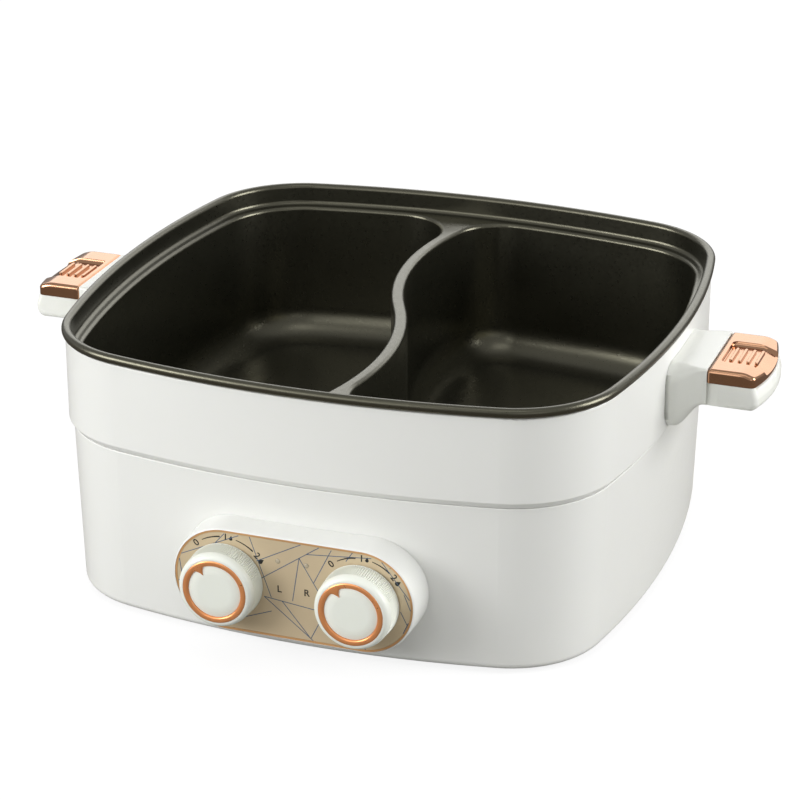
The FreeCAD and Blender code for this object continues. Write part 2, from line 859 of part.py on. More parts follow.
def make_base_shell():
    flange_inner = base_bottom_inset + flange_width
    wall_foot = base_inset_at(flange_top) + base_wall
    rebate = deck_flange_inset - fit_gap
    rebate_wall = base_inset_at(deck_seat) + base_wall
    shell = ring([
        (-base_top_inset, base_top, 0.6),
        (-base_bottom_inset, base_bottom, base_foot_round),
        (-flange_inner, base_bottom, 0),
        (-flange_inner, flange_top, 0),
        (-wall_foot, flange_top, 0),
        (-rebate_wall, deck_seat, 0),
        (-rebate, deck_seat, 0),
        (-rebate, base_top, 0),
    ])
    cuts = [
        stadium(control_window_radius, bezel_front + bezel_root, body_half_depth - 2 * bezel_root),
        inlet_window(fit_gap),
    ]
    for place in cover_screw_places():
        cuts.append(rod(place, place + UP * flange_top, screw_radius + fit_gap))
        cuts.append(rod(place, place + UP * (base_bottom + screw_head_height),
                        screw_head_radius + seat_gap))
    return shell.cut(cuts)


def make_bottom_cover():
    inset = base_inset_at(flange_top) + base_wall + seat_gap
    cover = slab(inset, flange_top + fit_gap, cover_top)
    added = []
    for place in cover_screw_places():
        added.append(rod(place + UP * (cover_top - overlap), place + UP * (cover_top + cover_boss_height),
                         cover_boss_radius))
    for place in shield_boss_places():
        added.append(rod(place + UP * (cover_top - overlap), place + UP * shield_height,
                         shield_boss_radius))
    cover = cover.fuse(added).removeSplitter()
    cuts = []
    for place in cover_screw_places():
        cuts.append(rod(place, place + UP * (cover_top + cover_boss_height - cut_through),
                        screw_radius + running_gap))
    for place in shield_boss_places():
        cuts.append(rod(place + UP * (shield_height - shield_boss_bore),
                        place + UP * (shield_height + cut_through), screw_radius + running_gap))
    for place in corner_places(foot_corner_inset).values():
        cuts.append(rod(place, place + UP * (cover_top + cut_through), foot_stem_radius + fit_gap))
    for side in (-1, 1):
        for i in range(vent_count):
            x = side * heater_x + (i - (vent_count - 1) / 2) * vent_pitch
            cuts.append(prism([
                (x - vent_width / 2, -vent_half_length, vent_round),
                (x + vent_width / 2, -vent_half_length, vent_round),
                (x + vent_width / 2, vent_half_length, vent_round),
                (x - vent_width / 2, vent_half_length, vent_round),
            ], V(0, 0, 0), V(1, 0, 0), V(0, 1, 0), UP * (cover_top + cut_through)))
    return cover.cut(cuts)


def make_foot(place):
    """A rubber foot: a pad under the bottom cover and a stem through it."""
    pad = rod(place, place + UP * flange_top, foot_radius)
    pad = pad.makeFillet(foot_edge_round, edges_at_height(pad, 0))
    barb_bottom = cover_top + 2 * fit_gap
    stem = rod(place + UP * (flange_top - overlap), place + UP * (barb_bottom + overlap), foot_stem_radius)
    barb = rod(place + UP * barb_bottom, place + UP * (barb_bottom + foot_barb_height),
               foot_stem_radius + foot_barb_rim)
    return joined([pad, stem, barb])


def make_bottom_screws():
    screws = []
    for place in cover_screw_places():
        seat = place + UP * (base_bottom + screw_head_height)
        head = rod(seat - UP * (screw_head_height - fit_gap), seat, screw_head_radius)
        shank = rod(seat - UP * overlap, seat + UP * cover_screw_length, screw_radius)
        screws.append(head.fuse(shank).removeSplitter())
    return Part.makeCompound(screws)


# ---------------------------------------------------------------- heating

def make_heater_deck():
    """A pressed steel pan that closes the base and follows the floor of the pot."""
    turn = pot_floor_round + deck_pot_gap
    inner = deck_inset + turn + deck_floor_seam
    low = deck_top - deck_plate
    top = deck_seat + fit_gap
    wall = deck_inset + deck_plate
    pan = ring([
        (-deck_flange_inset, top, 0),
        (-deck_flange_inset, top + deck_plate, 0),
        (-wall, top + deck_plate, deck_plate),
        (-wall, deck_top, turn),
        (-inner, deck_top, 0),
        (-inner, low, 0),
        (-deck_inset, low, turn + deck_plate),
        (-deck_inset, top, 0),
    ])
    floor = slab(inner - overlap, low, deck_top)
    pan = pan.fuse(floor).removeSplitter()
    windows = []
    for sign in (-1, 1):
        center = V(sign * heater_x, 0, 0)
        windows.append(rod(center, center + UP * base_top, heater_radius + deck_window_gap))
    return pan.cut(windows)


def spacer_places(side):
    places = []
    for i in range(spacer_count):
        angle = math.radians(90 + 360 / spacer_count * i)
        places.append(V(side_sign(side) * heater_x + spacer_circle * math.cos(angle),
                        spacer_circle * math.sin(angle), 0))
    return places


def make_heater_plate(side):
    center = V(side_sign(side) * heater_x, 0, 0)
    plate = rod(center + UP * heater_bottom, center + UP * heater_top, heater_radius)
    plate = plate.makeChamfer(heater_chamfer, edges_at_height(plate, heater_top))
    cuts = [heating_loop(side, tube_radius + fit_gap)]
    for place in spacer_places(side):
        cuts.append(rod(place, place + UP * (heater_bottom + plate_screw_bite + overlap),
                        screw_radius + running_gap))
    return plate.cut(cuts)


def heating_loop(side, radius):
    """A horizontal ring of tube whose two ends bend down towards the shield."""
    center = V(side_sign(side) * heater_x, 0, heater_bottom + tube_sink)
    turn = math.radians(90 - tube_gap_angle / 2)
    reach = V(math.cos(turn), -math.sin(turn), 0) * tube_ring_radius
    way = V(math.sin(turn), math.cos(turn), 0)
    start = center + reach
    finish = center + V(-reach.x, reach.y, 0)
    way_out = V(way.x, -way.y, 0)
    drop = UP * tube_bend
    low = UP * (center.z - shield_height + tube_foot)
    lean = tube_bend * math.sqrt(0.5)
    bottom_in = start - way * tube_bend - low
    top_in = start - way * tube_bend - drop
    middle_in = start - drop + (UP - way) * lean
    middle_out = finish - drop + (UP + way_out) * lean
    top_out = finish + way_out * tube_bend - drop
    bottom_out = finish + way_out * tube_bend - low
    path = Part.Wire([
        Part.makeLine(bottom_in, top_in),
        Part.Arc(top_in, middle_in, start).toShape(),
        Part.Arc(start, center + V(0, tube_ring_radius, 0), finish).toShape(),
        Part.Arc(finish, middle_out, top_out).toShape(),
        Part.makeLine(top_out, bottom_out),
    ])
    section = Part.Wire(Part.makeCircle(radius, bottom_in, UP))
    return path.makePipeShell([section], True, False)


def make_heating_tube(side):
    """A ring of sheathed element with two terminal pins below the shield."""
    pieces = [heating_loop(side, tube_radius)]
    for place in tube_pin_places(side):
        pieces.append(rod(place + UP * shield_height, place + UP * tube_pin_bottom, tube_pin_radius))
    return joined(pieces)


def tube_pin_places(side):
    x = side_sign(side) * heater_x
    turn = math.radians(90 - tube_gap_angle / 2)
    reach = tube_ring_radius * math.cos(turn) - tube_bend * math.sin(turn)
    y = -tube_ring_radius * math.sin(turn) - tube_bend * math.cos(turn)
    return [V(x - reach, y, 0), V(x + reach, y, 0)]


def shield_boss_places():
    places = []
    for x in (-shield_boss_x, shield_boss_x):
        for y in (-shield_boss_front, shield_boss_back):
            places.append(V(x, y, 0))
    return places


def make_heat_shield():
    shield = prism([
        (-shield_half_width, -shield_front, shield_corner),
        (shield_half_width, -shield_front, shield_corner),
        (shield_half_width, shield_back, shield_corner),
        (-shield_half_width, shield_back, shield_corner),
    ], V(0, 0, shield_height), V(1, 0, 0), V(0, 1, 0), UP * shield_plate)
    cuts = []
    for place in shield_boss_places():
        cuts.append(rod(place, place + UP * deck_top, screw_radius + fit_gap))
    for side in ("left", "right"):
        center = V(side_sign(side) * heater_x, 0, 0)
        cuts.append(rod(center, center + UP * deck_top, limiter_radius + shield_hole_gap))
        for place in spacer_places(side):
            cuts.append(rod(place, place + UP * deck_top, screw_radius + fit_gap))
        for place in tube_pin_places(side):
            cuts.append(rod(place, place + UP * deck_top, tube_radius + shield_hole_gap))
        bulb = bulb_start(side)
        place = V(bulb.x, bulb.y - capillary_lead, 0)
        cuts.append(rod(place, place + UP * deck_top, capillary_hole_radius))
    return shield.cut(cuts)


def make_spacers():
    """Tubular spacers between the heat shield and the heater plates."""
    spacers = []
    for side in ("left", "right"):
        for place in spacer_places(side):
            outer = rod(place + UP * shield_top, place + UP * heater_bottom, spacer_radius)
            bore = rod(place, place + UP * deck_top, screw_radius + fit_gap)
            spacers.append(outer.cut(bore))
    return Part.makeCompound(spacers)


def make_plate_screws():
    screws = []
    for side in ("left", "right"):
        for place in spacer_places(side):
            head = rod(place + UP * (shield_height - screw_head_height), place + UP * shield_height,
                       screw_head_radius)
            shank = rod(place + UP * (shield_height - overlap),
                        place + UP * (heater_bottom + plate_screw_bite), screw_radius)
            screws.append(head.fuse(shank).removeSplitter())
    return Part.makeCompound(screws)


def make_shield_screws():
    screws = []
    for place in shield_boss_places():
        head = rod(place + UP * shield_top, place + UP * (shield_top + screw_head_height), screw_head_radius)
        shank = rod(place + UP * (shield_top + overlap), place + UP * (shield_top - shield_screw_length),
                    screw_radius)
        screws.append(head.fuse(shank).removeSplitter())
    return Part.makeCompound(screws)


def make_limiter(side):
    """A snap-disc temperature limiter pressed against the heater plate."""
    center = V(side_sign(side) * heater_x, 0, 0)
    can_bottom = heater_bottom - limiter_can_height
    body_bottom = can_bottom - limiter_height
    can = rod(center + UP * can_bottom, center + UP * heater_bottom, limiter_radius)
    body = rod(center + UP * body_bottom, center + UP * (can_bottom + overlap), limiter_radius - 1)
    pieces = [can, body]
    for sign in (-1, 1):
        x = center.x + sign * limiter_tab_offset
        low = V(x - limiter_tab_plate / 2, -limiter_tab_half_width, body_bottom - limiter_tab_length)
        high = V(x + limiter_tab_plate / 2, limiter_tab_half_width, body_bottom + overlap)
        pieces.append(box(low, high))
    return joined(pieces)


def bulb_start(side):
    """Front end of the sensing bulb under a heater plate, towards the middle of the base."""
    x = side_sign(side) * (heater_x - bulb_offset)
    return V(x, -bulb_half_length, heater_bottom - bulb_radius)


def make_sensor(side):
    """The sensing bulb of a thermostat with its capillary tube, led back to the thermostat."""
    start = bulb_start(side)
    bulb = rod(start, start + V(0, 2 * bulb_half_length, 0), bulb_radius)
    dial_x = panel_x + side_sign(side) * dial_half_spacing
    drop = shield_height - capillary_drop
    turn_y = start.y - capillary_lead
    body_back = bracket_back - thermostat_depth
    line = tube([
        start + V(0, overlap, 0),
        V(start.x, turn_y, start.z),
        V(start.x, turn_y, drop),
        V(dial_x, turn_y - capillary_slant, drop),
        V(dial_x, -body_back + 3 * fit_gap, drop + capillary_drop),
    ], capillary_bend, capillary_radius)
    return bulb.fuse(line).removeSplitter()


# ---------------------------------------------------------------- control panel

def make_bezel():
    lip = panel_radius + bezel_lip_width
    wall_distance = body_half_depth - bezel_root
    grow = bezel_flare * (bezel_front - wall_distance) / (bezel_front - body_half_depth + base_top_inset)
    form = tapered_stadium(lip, lip + grow, bezel_front, wall_distance)
    front_edges = [e for e in form.Edges if e.BoundBox.YMax < -bezel_front + 0.01]
    form = form.makeFillet(bezel_edge_round, front_edges)
    hollow_grow = bezel_flare * (bezel_back_face - wall_distance) / (bezel_front - body_half_depth)
    hollow_radius = lip - bezel_wall
    hollow = tapered_stadium(hollow_radius, hollow_radius + hollow_grow, bezel_back_face, wall_distance - 1)
    recess = stadium(panel_radius + fit_gap, bezel_front + cut_through, plate_seat)
    cuts = [hollow, base_envelope(fit_gap), recess]
    for x in dial_places():
        cuts.append(rod(V(x, -bezel_front - cut_through, dial_height), V(x, -wall_distance, dial_height),
                        neck_radius + dial_hole_gap))
    for x in lamp_places():
        cuts.append(rod(V(x, -bezel_front - cut_through, lamp_height), V(x, -wall_distance, lamp_height),
                        lamp_radius + fit_gap))
    form = form.cut(cuts)
    posts = []
    for sign in (-1, 1):
        x = panel_x + sign * (lamp_board_width / 2 - lamp_post_edge)
        posts.append(rod(V(x, -bezel_back_face - overlap, lamp_height),
                         V(x, -panel_front + lamp_board_setback, lamp_height), lamp_post_radius))
        x = panel_x + sign * (dial_half_spacing - bracket_post_setback)
        posts.append(rod(V(x, -bezel_back_face - overlap, dial_height),
                         V(x, -bracket_front, dial_height), bracket_post_radius))
    return form.fuse(posts).removeSplitter()


def dial_places():
    return [panel_x - dial_half_spacing, panel_x + dial_half_spacing]


def lamp_places():
    return [panel_x - lamp_half_spacing, panel_x + lamp_half_spacing]


def make_border():
    outer = stadium(panel_radius, panel_front, plate_seat)
    inner = stadium(panel_radius - border_width, panel_front + cut_through, plate_seat - cut_through)
    return outer.cut(inner)


def make_panel_face():
    plate = stadium(panel_radius - border_width - fit_gap, panel_front - fit_gap, plate_seat)
    cuts = []
    for x in dial_places():
        cuts.append(rod(V(x, -panel_front - cut_through, dial_height),
                        V(x, -plate_seat + cut_through, dial_height), neck_radius + dial_hole_gap))
    for x in lamp_places():
        cuts.append(rod(V(x, -panel_front - cut_through, lamp_height),
                        V(x, -plate_seat + cut_through, lamp_height), lamp_radius + fit_gap))
    return plate.cut(cuts)


def make_lamp(x):
    """A clear lens rod that carries the light of a lamp to the printed face."""
    front = V(x, -panel_front, lamp_height)
    back = V(x, -panel_front + lamp_board_setback - lamp_chip_height - lamp_chip_gap, lamp_height)
    return rod(front, back, lamp_radius)


def make_lamp_board():
    front = panel_front - lamp_board_setback
    edge = lamp_height - lamp_board_edge
    low = V(panel_x - lamp_board_width / 2, -front, edge)
    high = V(panel_x + lamp_board_width / 2, -front + lamp_board_plate, edge + lamp_board_height)
    pieces = [box(low, high)]
    for x in lamp_places():
        pieces.append(rod(V(x, -front + overlap, lamp_height), V(x, -front - lamp_chip_height, lamp_height),
                          lamp_chip_radius))
    return joined(pieces)


def make_control_bracket():
    plate = stadium(control_bracket_radius, bracket_front, bracket_back)
    cuts = []
    for x in dial_places():
        cuts.append(rod(V(x, -bracket_front - cut_through, dial_height),
                        V(x, -bracket_back + cut_through, dial_height), neck_radius + fit_gap))
    return plate.cut(cuts)


def make_thermostat(x):
    half = thermostat_width / 2
    half_z = thermostat_height / 2
    body = prism([
        (x - half, dial_height - half_z, thermostat_round),
        (x + half, dial_height - half_z, thermostat_round),
        (x + half, dial_height + half_z, thermostat_round),
        (x - half, dial_height + half_z, thermostat_round),
    ], V(0, -bracket_back, 0), V(1, 0, 0), UP, V(0, thermostat_depth, 0))
    neck = rod(V(x, -bracket_back + overlap, dial_height), V(x, -bracket_front - neck_length, dial_height),
               neck_radius)
    bore = rod(V(x, -knob_front, dial_height), V(x, -bracket_back + shaft_depth + overlap, dial_height),
               shaft_radius + running_gap)
    form = body.fuse(neck).removeSplitter()
    tabs = []
    body_back = bracket_back - thermostat_depth
    for offset in (-thermostat_tab_offset, thermostat_tab_offset):
        tab_low = dial_height + thermostat_tab_height
        left = x + offset - thermostat_tab_half_width
        right = x + offset + thermostat_tab_half_width
        tabs.append(box(V(left, -body_back - overlap, tab_low),
                        V(right, -body_back + thermostat_tab_length, tab_low + thermostat_tab_plate)))
    return form.fuse(tabs).removeSplitter().cut(bore)


def make_thermostat_nuts():
    nuts = []
    across = nut_across_flats / 2
    radius = across / math.cos(math.pi / 6)
    for x in dial_places():
        corners = []
        for i in range(6):
            angle = math.radians(60 * i + 30)
            corners.append((x + radius * math.cos(angle), dial_height + radius * math.sin(angle), 0))
        nut = prism(corners, V(0, -bracket_front, 0), V(1, 0, 0), UP, V(0, -nut_thickness, 0))
        bore = rod(V(x, -bracket_front - neck_length, dial_height),
                   V(x, -bracket_back, dial_height), neck_radius + running_gap)
        nuts.append(nut.cut(bore))
    return Part.makeCompound(nuts)


# ---------------------------------------------------------------- knobs

def make_knob(x):
    """A hollow knob with a hub, a groove for its copper ring and a slightly sunk face."""
    front = knob_front
    groove = front - (knob_ring_height - knob_ring_proud)
    face = front - knob_face_sink
    inner = face - knob_face_plate
    back_inner = knob_radius - knob_skirt_wall
    form = turned([
        (0, face, 0),
        (knob_ring_inner - fit_gap, face, 0),
        (knob_ring_inner - fit_gap, groove, 0),
        (knob_ring_outer + fit_gap, groove, 0),
        (knob_ring_outer + fit_gap, front, 0),
        (knob_front_radius, front, knob_edge_round),
        (knob_radius, knob_back, edge_break),
        (back_inner, knob_back, 0),
        (back_inner, inner, 2.0),
        (knob_hub_radius, inner, 0),
        (knob_hub_radius, knob_back, 0),
        (0, knob_back, 0),
    ], x, dial_height)
    bore = rod(V(x, -knob_back + cut_through, dial_height),
               V(x, -knob_back - shaft_hub_depth - 2 * fit_gap, dial_height), shaft_radius)
    slot = pointer_form(x, front + cut_through, groove)
    return form.cut([bore, slot])


def pointer_form(x, front, back):
    """The small triangle inside the copper ring that points at the dial."""
    corners = []
    base_radius = knob_ring_inner + pointer_root
    for turn, radius in ((-pointer_half_angle, base_radius), (0, pointer_tip_radius),
                         (pointer_half_angle, base_radius)):
        angle = math.radians(90 + pointer_angle + turn)
        corners.append((x + radius * math.cos(angle), dial_height + radius * math.sin(angle), 0))
    return prism(corners, V(0, -front, 0), V(1, 0, 0), UP, V(0, front - back, 0))


def make_knob_ring(x):
    top = knob_front + knob_ring_proud
    low = top - knob_ring_height
    band = turned([
        (knob_ring_inner, low, 0),
        (knob_ring_outer, low, 0),
        (knob_ring_outer, top, 0.6),
        (knob_ring_inner, top, 0.6),
    ], x, dial_height)
    return band.fuse(pointer_form(x, top - edge_break, low)).removeSplitter()


def make_shaft(x):
    return rod(V(x, -knob_back - shaft_hub_depth, dial_height),
               V(x, -bracket_back + shaft_depth, dial_height), shaft_radius)


# ---------------------------------------------------------------- power inlet and wiring

def inlet_corners(grow):
    w = inlet_half_width + grow
    h = inlet_half_height + grow
    r = inlet_corner + grow
    return [(-w, inlet_height - h, r), (w, inlet_height - h, r),
            (w, inlet_height + h, r), (-w, inlet_height + h, r)]


def inlet_window(grow):
    start = V(0, body_half_depth - inlet_depth, 0)
    return prism(inlet_corners(grow), start, V(1, 0, 0), UP, V(0, 2 * inlet_depth, 0))


def make_inlet():
    mouth = body_half_depth - base_inset_at(inlet_height) + inlet_flange_plate
    body = prism(inlet_corners(0), V(0, mouth - inlet_depth, 0), V(1, 0, 0), UP, V(0, inlet_depth, 0))
    flange = prism(inlet_corners(inlet_flange), V(0, mouth - 2 * inlet_flange_plate, 0), V(1, 0, 0), UP,
                   V(0, 2 * inlet_flange_plate, 0))
    flange = flange.cut(base_envelope(fit_gap))
    form = body.fuse(flange).removeSplitter()
    socket = prism(inlet_corners(-inlet_wall), V(0, mouth - inlet_depth + inlet_back_wall, 0),
                   V(1, 0, 0), UP, V(0, inlet_depth, 0))
    cuts = [socket]
    for x, z in pin_places():
        half_x = pin_thickness / 2 + fit_gap
        half_z = pin_width / 2 + fit_gap
        cuts.append(box(V(x - half_x, mouth - inlet_depth - cut_through, z - half_z),
                        V(x + half_x, mouth, z + half_z)))
    return form.cut(cuts)


def pin_places():
    low = inlet_height - pin_offset
    return [(-pin_half_spacing, low), (0, inlet_height + pin_offset), (pin_half_spacing, low)]


def pin_root():
    mouth = body_half_depth - base_inset_at(inlet_height) + inlet_flange_plate
    return mouth - inlet_depth


def make_pins():
    pins = []
    for x, z in pin_places():
        low = V(x - pin_thickness / 2, pin_root() - pin_tail, z - pin_width / 2)
        high = V(x + pin_thickness / 2, pin_root() + inlet_back_wall + pin_length, z + pin_width / 2)
        pins.append(box(low, high))
    return Part.makeCompound(pins)


def make_terminal_block():
    low = V(-block_half_width, block_y - block_depth / 2, cover_top)
    high = V(block_half_width, block_y + block_depth / 2, cover_top + block_height)
    body = box(low, high)
    body = body.makeFillet(1.0, edges_at_height(body, cover_top + block_height))
    entry = cover_top + block_bore_height
    cuts = []
    for i in range(block_poles):
        x = block_place(i)
        cuts.append(rod(V(x, block_y, cover_top + block_screw_bottom),
                        V(x, block_y, cover_top + block_height + cut_through), block_screw_radius))
        cuts.append(rod(V(x, block_y - block_depth, entry), V(x, block_y + block_depth, entry),
                        block_bore_radius))
    return body.cut(cuts)


def block_place(pole):
    return (pole - (block_poles - 1) / 2) * block_pitch


def make_wires():
    """Sheathed leads: inlet to terminal block, and terminal block to heaters and thermostats."""
    entry = cover_top + block_bore_height
    back = block_y + block_depth / 2
    front = block_y - block_depth / 2
    leads = []
    ends = pin_places()
    for i in range(3):
        x, z = ends[i]
        block_x = block_place(2 * i)
        leads.append(tube([
            V(x, pin_root() - pin_tail - fit_gap, z),
            V(x, pin_root() - pin_tail - inlet_wire_start, z),
            V(block_x, back + inlet_wire_end, entry),
            V(block_x, back - wire_grip, entry),
        ], inlet_wire_bend, wire_radius))
    for side, pole in (("left", 1), ("right", 3)):
        pin = tube_pin_places(side)[0 if side == "right" else 1]
        block_x = block_place(pole)
        low = entry + heater_wire_rise
        leads.append(tube([
            V(block_x, front + wire_grip, entry),
            V(block_x, front - heater_wire_start, entry),
            V(pin.x, front - heater_wire_slant, low),
            V(pin.x, pin.y, low),
            V(pin.x, pin.y, tube_pin_bottom - fit_gap),
        ], heater_wire_bend, wire_radius))
    return leads


def make_control_wire(side):
    """The lead from the outer pin of a heating tube to its thermostat."""
    pin = tube_pin_places(side)[1 if side == "right" else 0]
    x = panel_x + side_sign(side) * (dial_half_spacing + thermostat_tab_offset)
    low = cover_top + control_wire_height
    tab = dial_height + thermostat_tab_height - wire_radius - fit_gap
    tab_end = thermostat_tab_length - bracket_back + thermostat_depth
    return tube([
        V(pin.x, pin.y, tube_pin_bottom - fit_gap),
        V(pin.x, pin.y, low),
        V(x, tab_end + control_wire_back, low),
        V(x, tab_end + control_wire_back, tab),
        V(x, tab_end - tab_grip, tab),
    ], control_wire_bend, wire_radius)


# ---------------------------------------------------------------- build

def build():
    save(make_inner_pot(), "inner_pot")
    save(make_skirt(), "pot_skirt")
    right_handle = make_handle()
    save(right_handle, "handle_right")
    save(mirrored(right_handle), "handle_left")
    right_cap = make_handle_cap()
    save(right_cap, "handle_cap_right")
    save(mirrored(right_cap), "handle_cap_left")
    right_bracket = make_handle_bracket()
    save(right_bracket, "handle_bracket_right")
    save(mirrored(right_bracket), "handle_bracket_left")
    save(make_handle_screws(), "handle_screws")

    save(make_base_shell(), "base_shell")
    save(make_bottom_cover(), "bottom_cover")
    save(make_bottom_screws(), "bottom_screws")
    for name, place in corner_places(foot_corner_inset).items():
        save(make_foot(place), "foot_" + name)

    save(make_heater_deck(), "heater_deck")
    save(make_heat_shield(), "heat_shield")
    save(make_spacers(), "plate_spacers")
    save(make_plate_screws(), "plate_screws")
    save(make_shield_screws(), "shield_screws")
    for side in ("left", "right"):
        save(make_heater_plate(side), "heater_plate_" + side)
        save(make_heating_tube(side), "heating_tube_" + side)
        save(make_limiter(side), "temperature_limiter_" + side)
        save(make_sensor(side), "thermostat_sensor_" + side)

    save(make_bezel(), "panel_bezel")
    save(make_border(), "panel_border")
    save(make_panel_face(), "panel_face")
    save(make_control_bracket(), "control_bracket")
    save(make_thermostat_nuts(), "thermostat_nuts")
    save(make_lamp_board(), "lamp_board")
    for side in ("left", "right"):
        x = panel_x + side_sign(side) * dial_half_spacing
        save(make_lamp(panel_x + side_sign(side) * lamp_half_spacing), "lamp_lens_" + side)
        save(make_thermostat(x), "thermostat_" + side)
        save(make_shaft(x), "thermostat_shaft_" + side)
        save(make_knob(x), "knob_" + side)
        save(make_knob_ring(x), "knob_ring_" + side)

    save(make_inlet(), "power_inlet")
    save(make_pins(), "inlet_pins")
    save(make_terminal_block(), "terminal_block")
    names = ("wire_live", "wire_earth", "wire_neutral", "wire_heater_left", "wire_heater_right")
    for name, lead in zip(names, make_wires()):
        save(lead, name)
    save(make_control_wire("left"), "wire_thermostat_left")
    save(make_control_wire("right"), "wire_thermostat_right")


build()
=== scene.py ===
import json
import math

import bmesh
import bpy
from mathutils import Matrix, Vector


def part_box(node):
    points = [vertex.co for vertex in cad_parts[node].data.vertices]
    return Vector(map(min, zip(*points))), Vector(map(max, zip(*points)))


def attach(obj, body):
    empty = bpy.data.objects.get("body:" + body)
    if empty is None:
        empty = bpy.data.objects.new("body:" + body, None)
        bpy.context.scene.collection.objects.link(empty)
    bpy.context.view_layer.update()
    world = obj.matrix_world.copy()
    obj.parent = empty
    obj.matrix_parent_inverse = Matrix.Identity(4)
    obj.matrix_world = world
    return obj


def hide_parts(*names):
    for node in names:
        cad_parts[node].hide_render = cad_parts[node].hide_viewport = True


# Looks for a two-flavour electric hot pot. Metres, X to the right, -Y the front, Z up.
# The pot lifts off the base and both knobs turn, so every new piece rides on its body.

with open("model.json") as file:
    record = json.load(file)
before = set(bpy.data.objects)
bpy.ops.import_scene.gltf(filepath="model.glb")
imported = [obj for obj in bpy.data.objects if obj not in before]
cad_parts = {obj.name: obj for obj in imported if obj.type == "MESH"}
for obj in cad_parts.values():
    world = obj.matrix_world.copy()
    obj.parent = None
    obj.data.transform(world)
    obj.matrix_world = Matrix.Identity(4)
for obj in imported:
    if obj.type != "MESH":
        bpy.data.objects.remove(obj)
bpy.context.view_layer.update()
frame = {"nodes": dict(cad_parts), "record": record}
nodes = frame["nodes"]
mm = 0.001
sides = ("left", "right")

panel = {
    "middle": 3.0,            # all in millimetres
    "dialHeight": 44.5,
    "dialSpacing": 38.0,      # from the middle to each dial
    "front": 173.9,           # the printed face, in front of the body's middle
    "radius": 27.6,
}


def toSide(side, distance):
    return distance if side == "right" else -distance


def dialCentre(side):
    across = panel["middle"] + toSide(side, panel["dialSpacing"])
    return Vector((across * mm, 0, panel["dialHeight"] * mm))


def smoothStep(value):
    value = min(1.0, max(0.0, value))
    return value * value * (3 - 2 * value)


def startMaterial(name):
    material = bpy.data.materials.new(name)
    material.use_nodes = True
    tree = material.node_tree
    return material, tree, tree.nodes["Principled BSDF"]


def addNode(tree, kind, **values):
    node = tree.nodes.new(kind)
    for key, value in values.items():
        if hasattr(node, key):
            setattr(node, key, value)
        else:
            node.inputs[key.replace("_", " ")].default_value = value
    return node


def objectPlace(tree, scale=(1, 1, 1), turn=(0, 0, 0), centre=(0, 0, 0)):
    coordinate = addNode(tree, "ShaderNodeTexCoord")
    mapping = addNode(tree, "ShaderNodeMapping", Scale=scale, Rotation=turn, Location=centre)
    tree.links.new(coordinate.outputs["Object"], mapping.inputs["Vector"])
    return mapping.outputs["Vector"]


def noise(tree, place, scale, detail):
    node = addNode(tree, "ShaderNodeTexNoise", Scale=scale, Detail=detail, Roughness=0.5)
    tree.links.new(place, node.inputs["Vector"])
    return node.outputs["Fac"]


def waves(tree, place, **values):
    node = addNode(tree, "ShaderNodeTexWave", **values)
    tree.links.new(place, node.inputs["Vector"])
    return node.outputs["Fac"]


def ramp(tree, value, stops):
    node = addNode(tree, "ShaderNodeValToRGB")
    for element, stop in zip(node.color_ramp.elements, stops):
        element.position = stop[0]
        element.color = tuple(stop[1]) + (1.0,)
    tree.links.new(value, node.inputs["Fac"])
    return node.outputs["Color"]


def rangeOf(tree, value, low, high, fromLow=0.0, fromHigh=1.0):
    node = addNode(tree, "ShaderNodeMapRange")
    limits = {"From Min": fromLow, "From Max": fromHigh, "To Min": low, "To Max": high}
    for key, number in limits.items():
        node.inputs[key].default_value = number
    tree.links.new(value, node.inputs["Value"])
    return node.outputs["Result"]


def combine(tree, operation, first, second):
    node = addNode(tree, "ShaderNodeMath", operation=operation)
    for socket, value in zip(node.inputs, (first, second)):
        if isinstance(value, (int, float)):
            socket.default_value = value
        else:
            tree.links.new(value, socket)
    return node.outputs["Value"]


def mixShaders(tree, share, first, second):
    mix = addNode(tree, "ShaderNodeMixShader")
    if isinstance(share, float):
        mix.inputs["Fac"].default_value = share
    else:
        tree.links.new(share, mix.inputs["Fac"])
    tree.links.new(first, mix.inputs[1])
    tree.links.new(second, mix.inputs[2])
    return mix.outputs["Shader"]


def shades(colour, spread):
    # a darker and a lighter version of a colour
    darker = tuple(channel * (1 - spread) for channel in colour)
    lighter = tuple(min(1.0, channel * (1 + spread)) for channel in colour)
    return darker, lighter


mottling = {
    "detail": 3.0,
    "low": 0.3,               # the noise counts between these two values
    "high": 0.7,
    "fineness": 9,            # of the gloss changes, against the colour changes
}


def mottled(tree, shader, look):
    # slow colour and finer gloss changes that every real surface has
    place = objectPlace(tree)
    low, high = mottling["low"], mottling["high"]
    slow = noise(tree, place, look["mottleScale"], mottling["detail"])
    darker, lighter = shades(look["colour"], look["mottle"])
    colour = ramp(tree, slow, [(low, darker), (high, lighter)])
    tree.links.new(colour, shader.inputs["Base Color"])
    fine = noise(tree, place, look["mottleScale"] * mottling["fineness"], mottling["detail"])
    least, most = look["roughness"] - look["gloss"], look["roughness"] + look["gloss"]
    tree.links.new(rangeOf(tree, fine, least, most, low, high), shader.inputs["Roughness"])


def grainHeight(tree, look):
    place = objectPlace(tree, scale=look.get("stretch", (1, 1, 1)))
    return noise(tree, place, look["grain"], look["grainDetail"])


def makeFinish(name, look, heightOf=grainHeight):
    # a material from a look: mottled colour and gloss, a fine relief, and plain shader values
    material, tree, shader = startMaterial(name)
    mottled(tree, shader, look)
    if "grain" in look:
        relief = addNode(tree, "ShaderNodeBump", Strength=look["grainStrength"], Distance=look["grainDepth"])
        tree.links.new(heightOf(tree, look), relief.inputs["Height"])
        tree.links.new(relief.outputs["Normal"], shader.inputs["Normal"])
    for socket, value in look.get("shader", {}).items():
        shader.inputs[socket].default_value = value
    return material


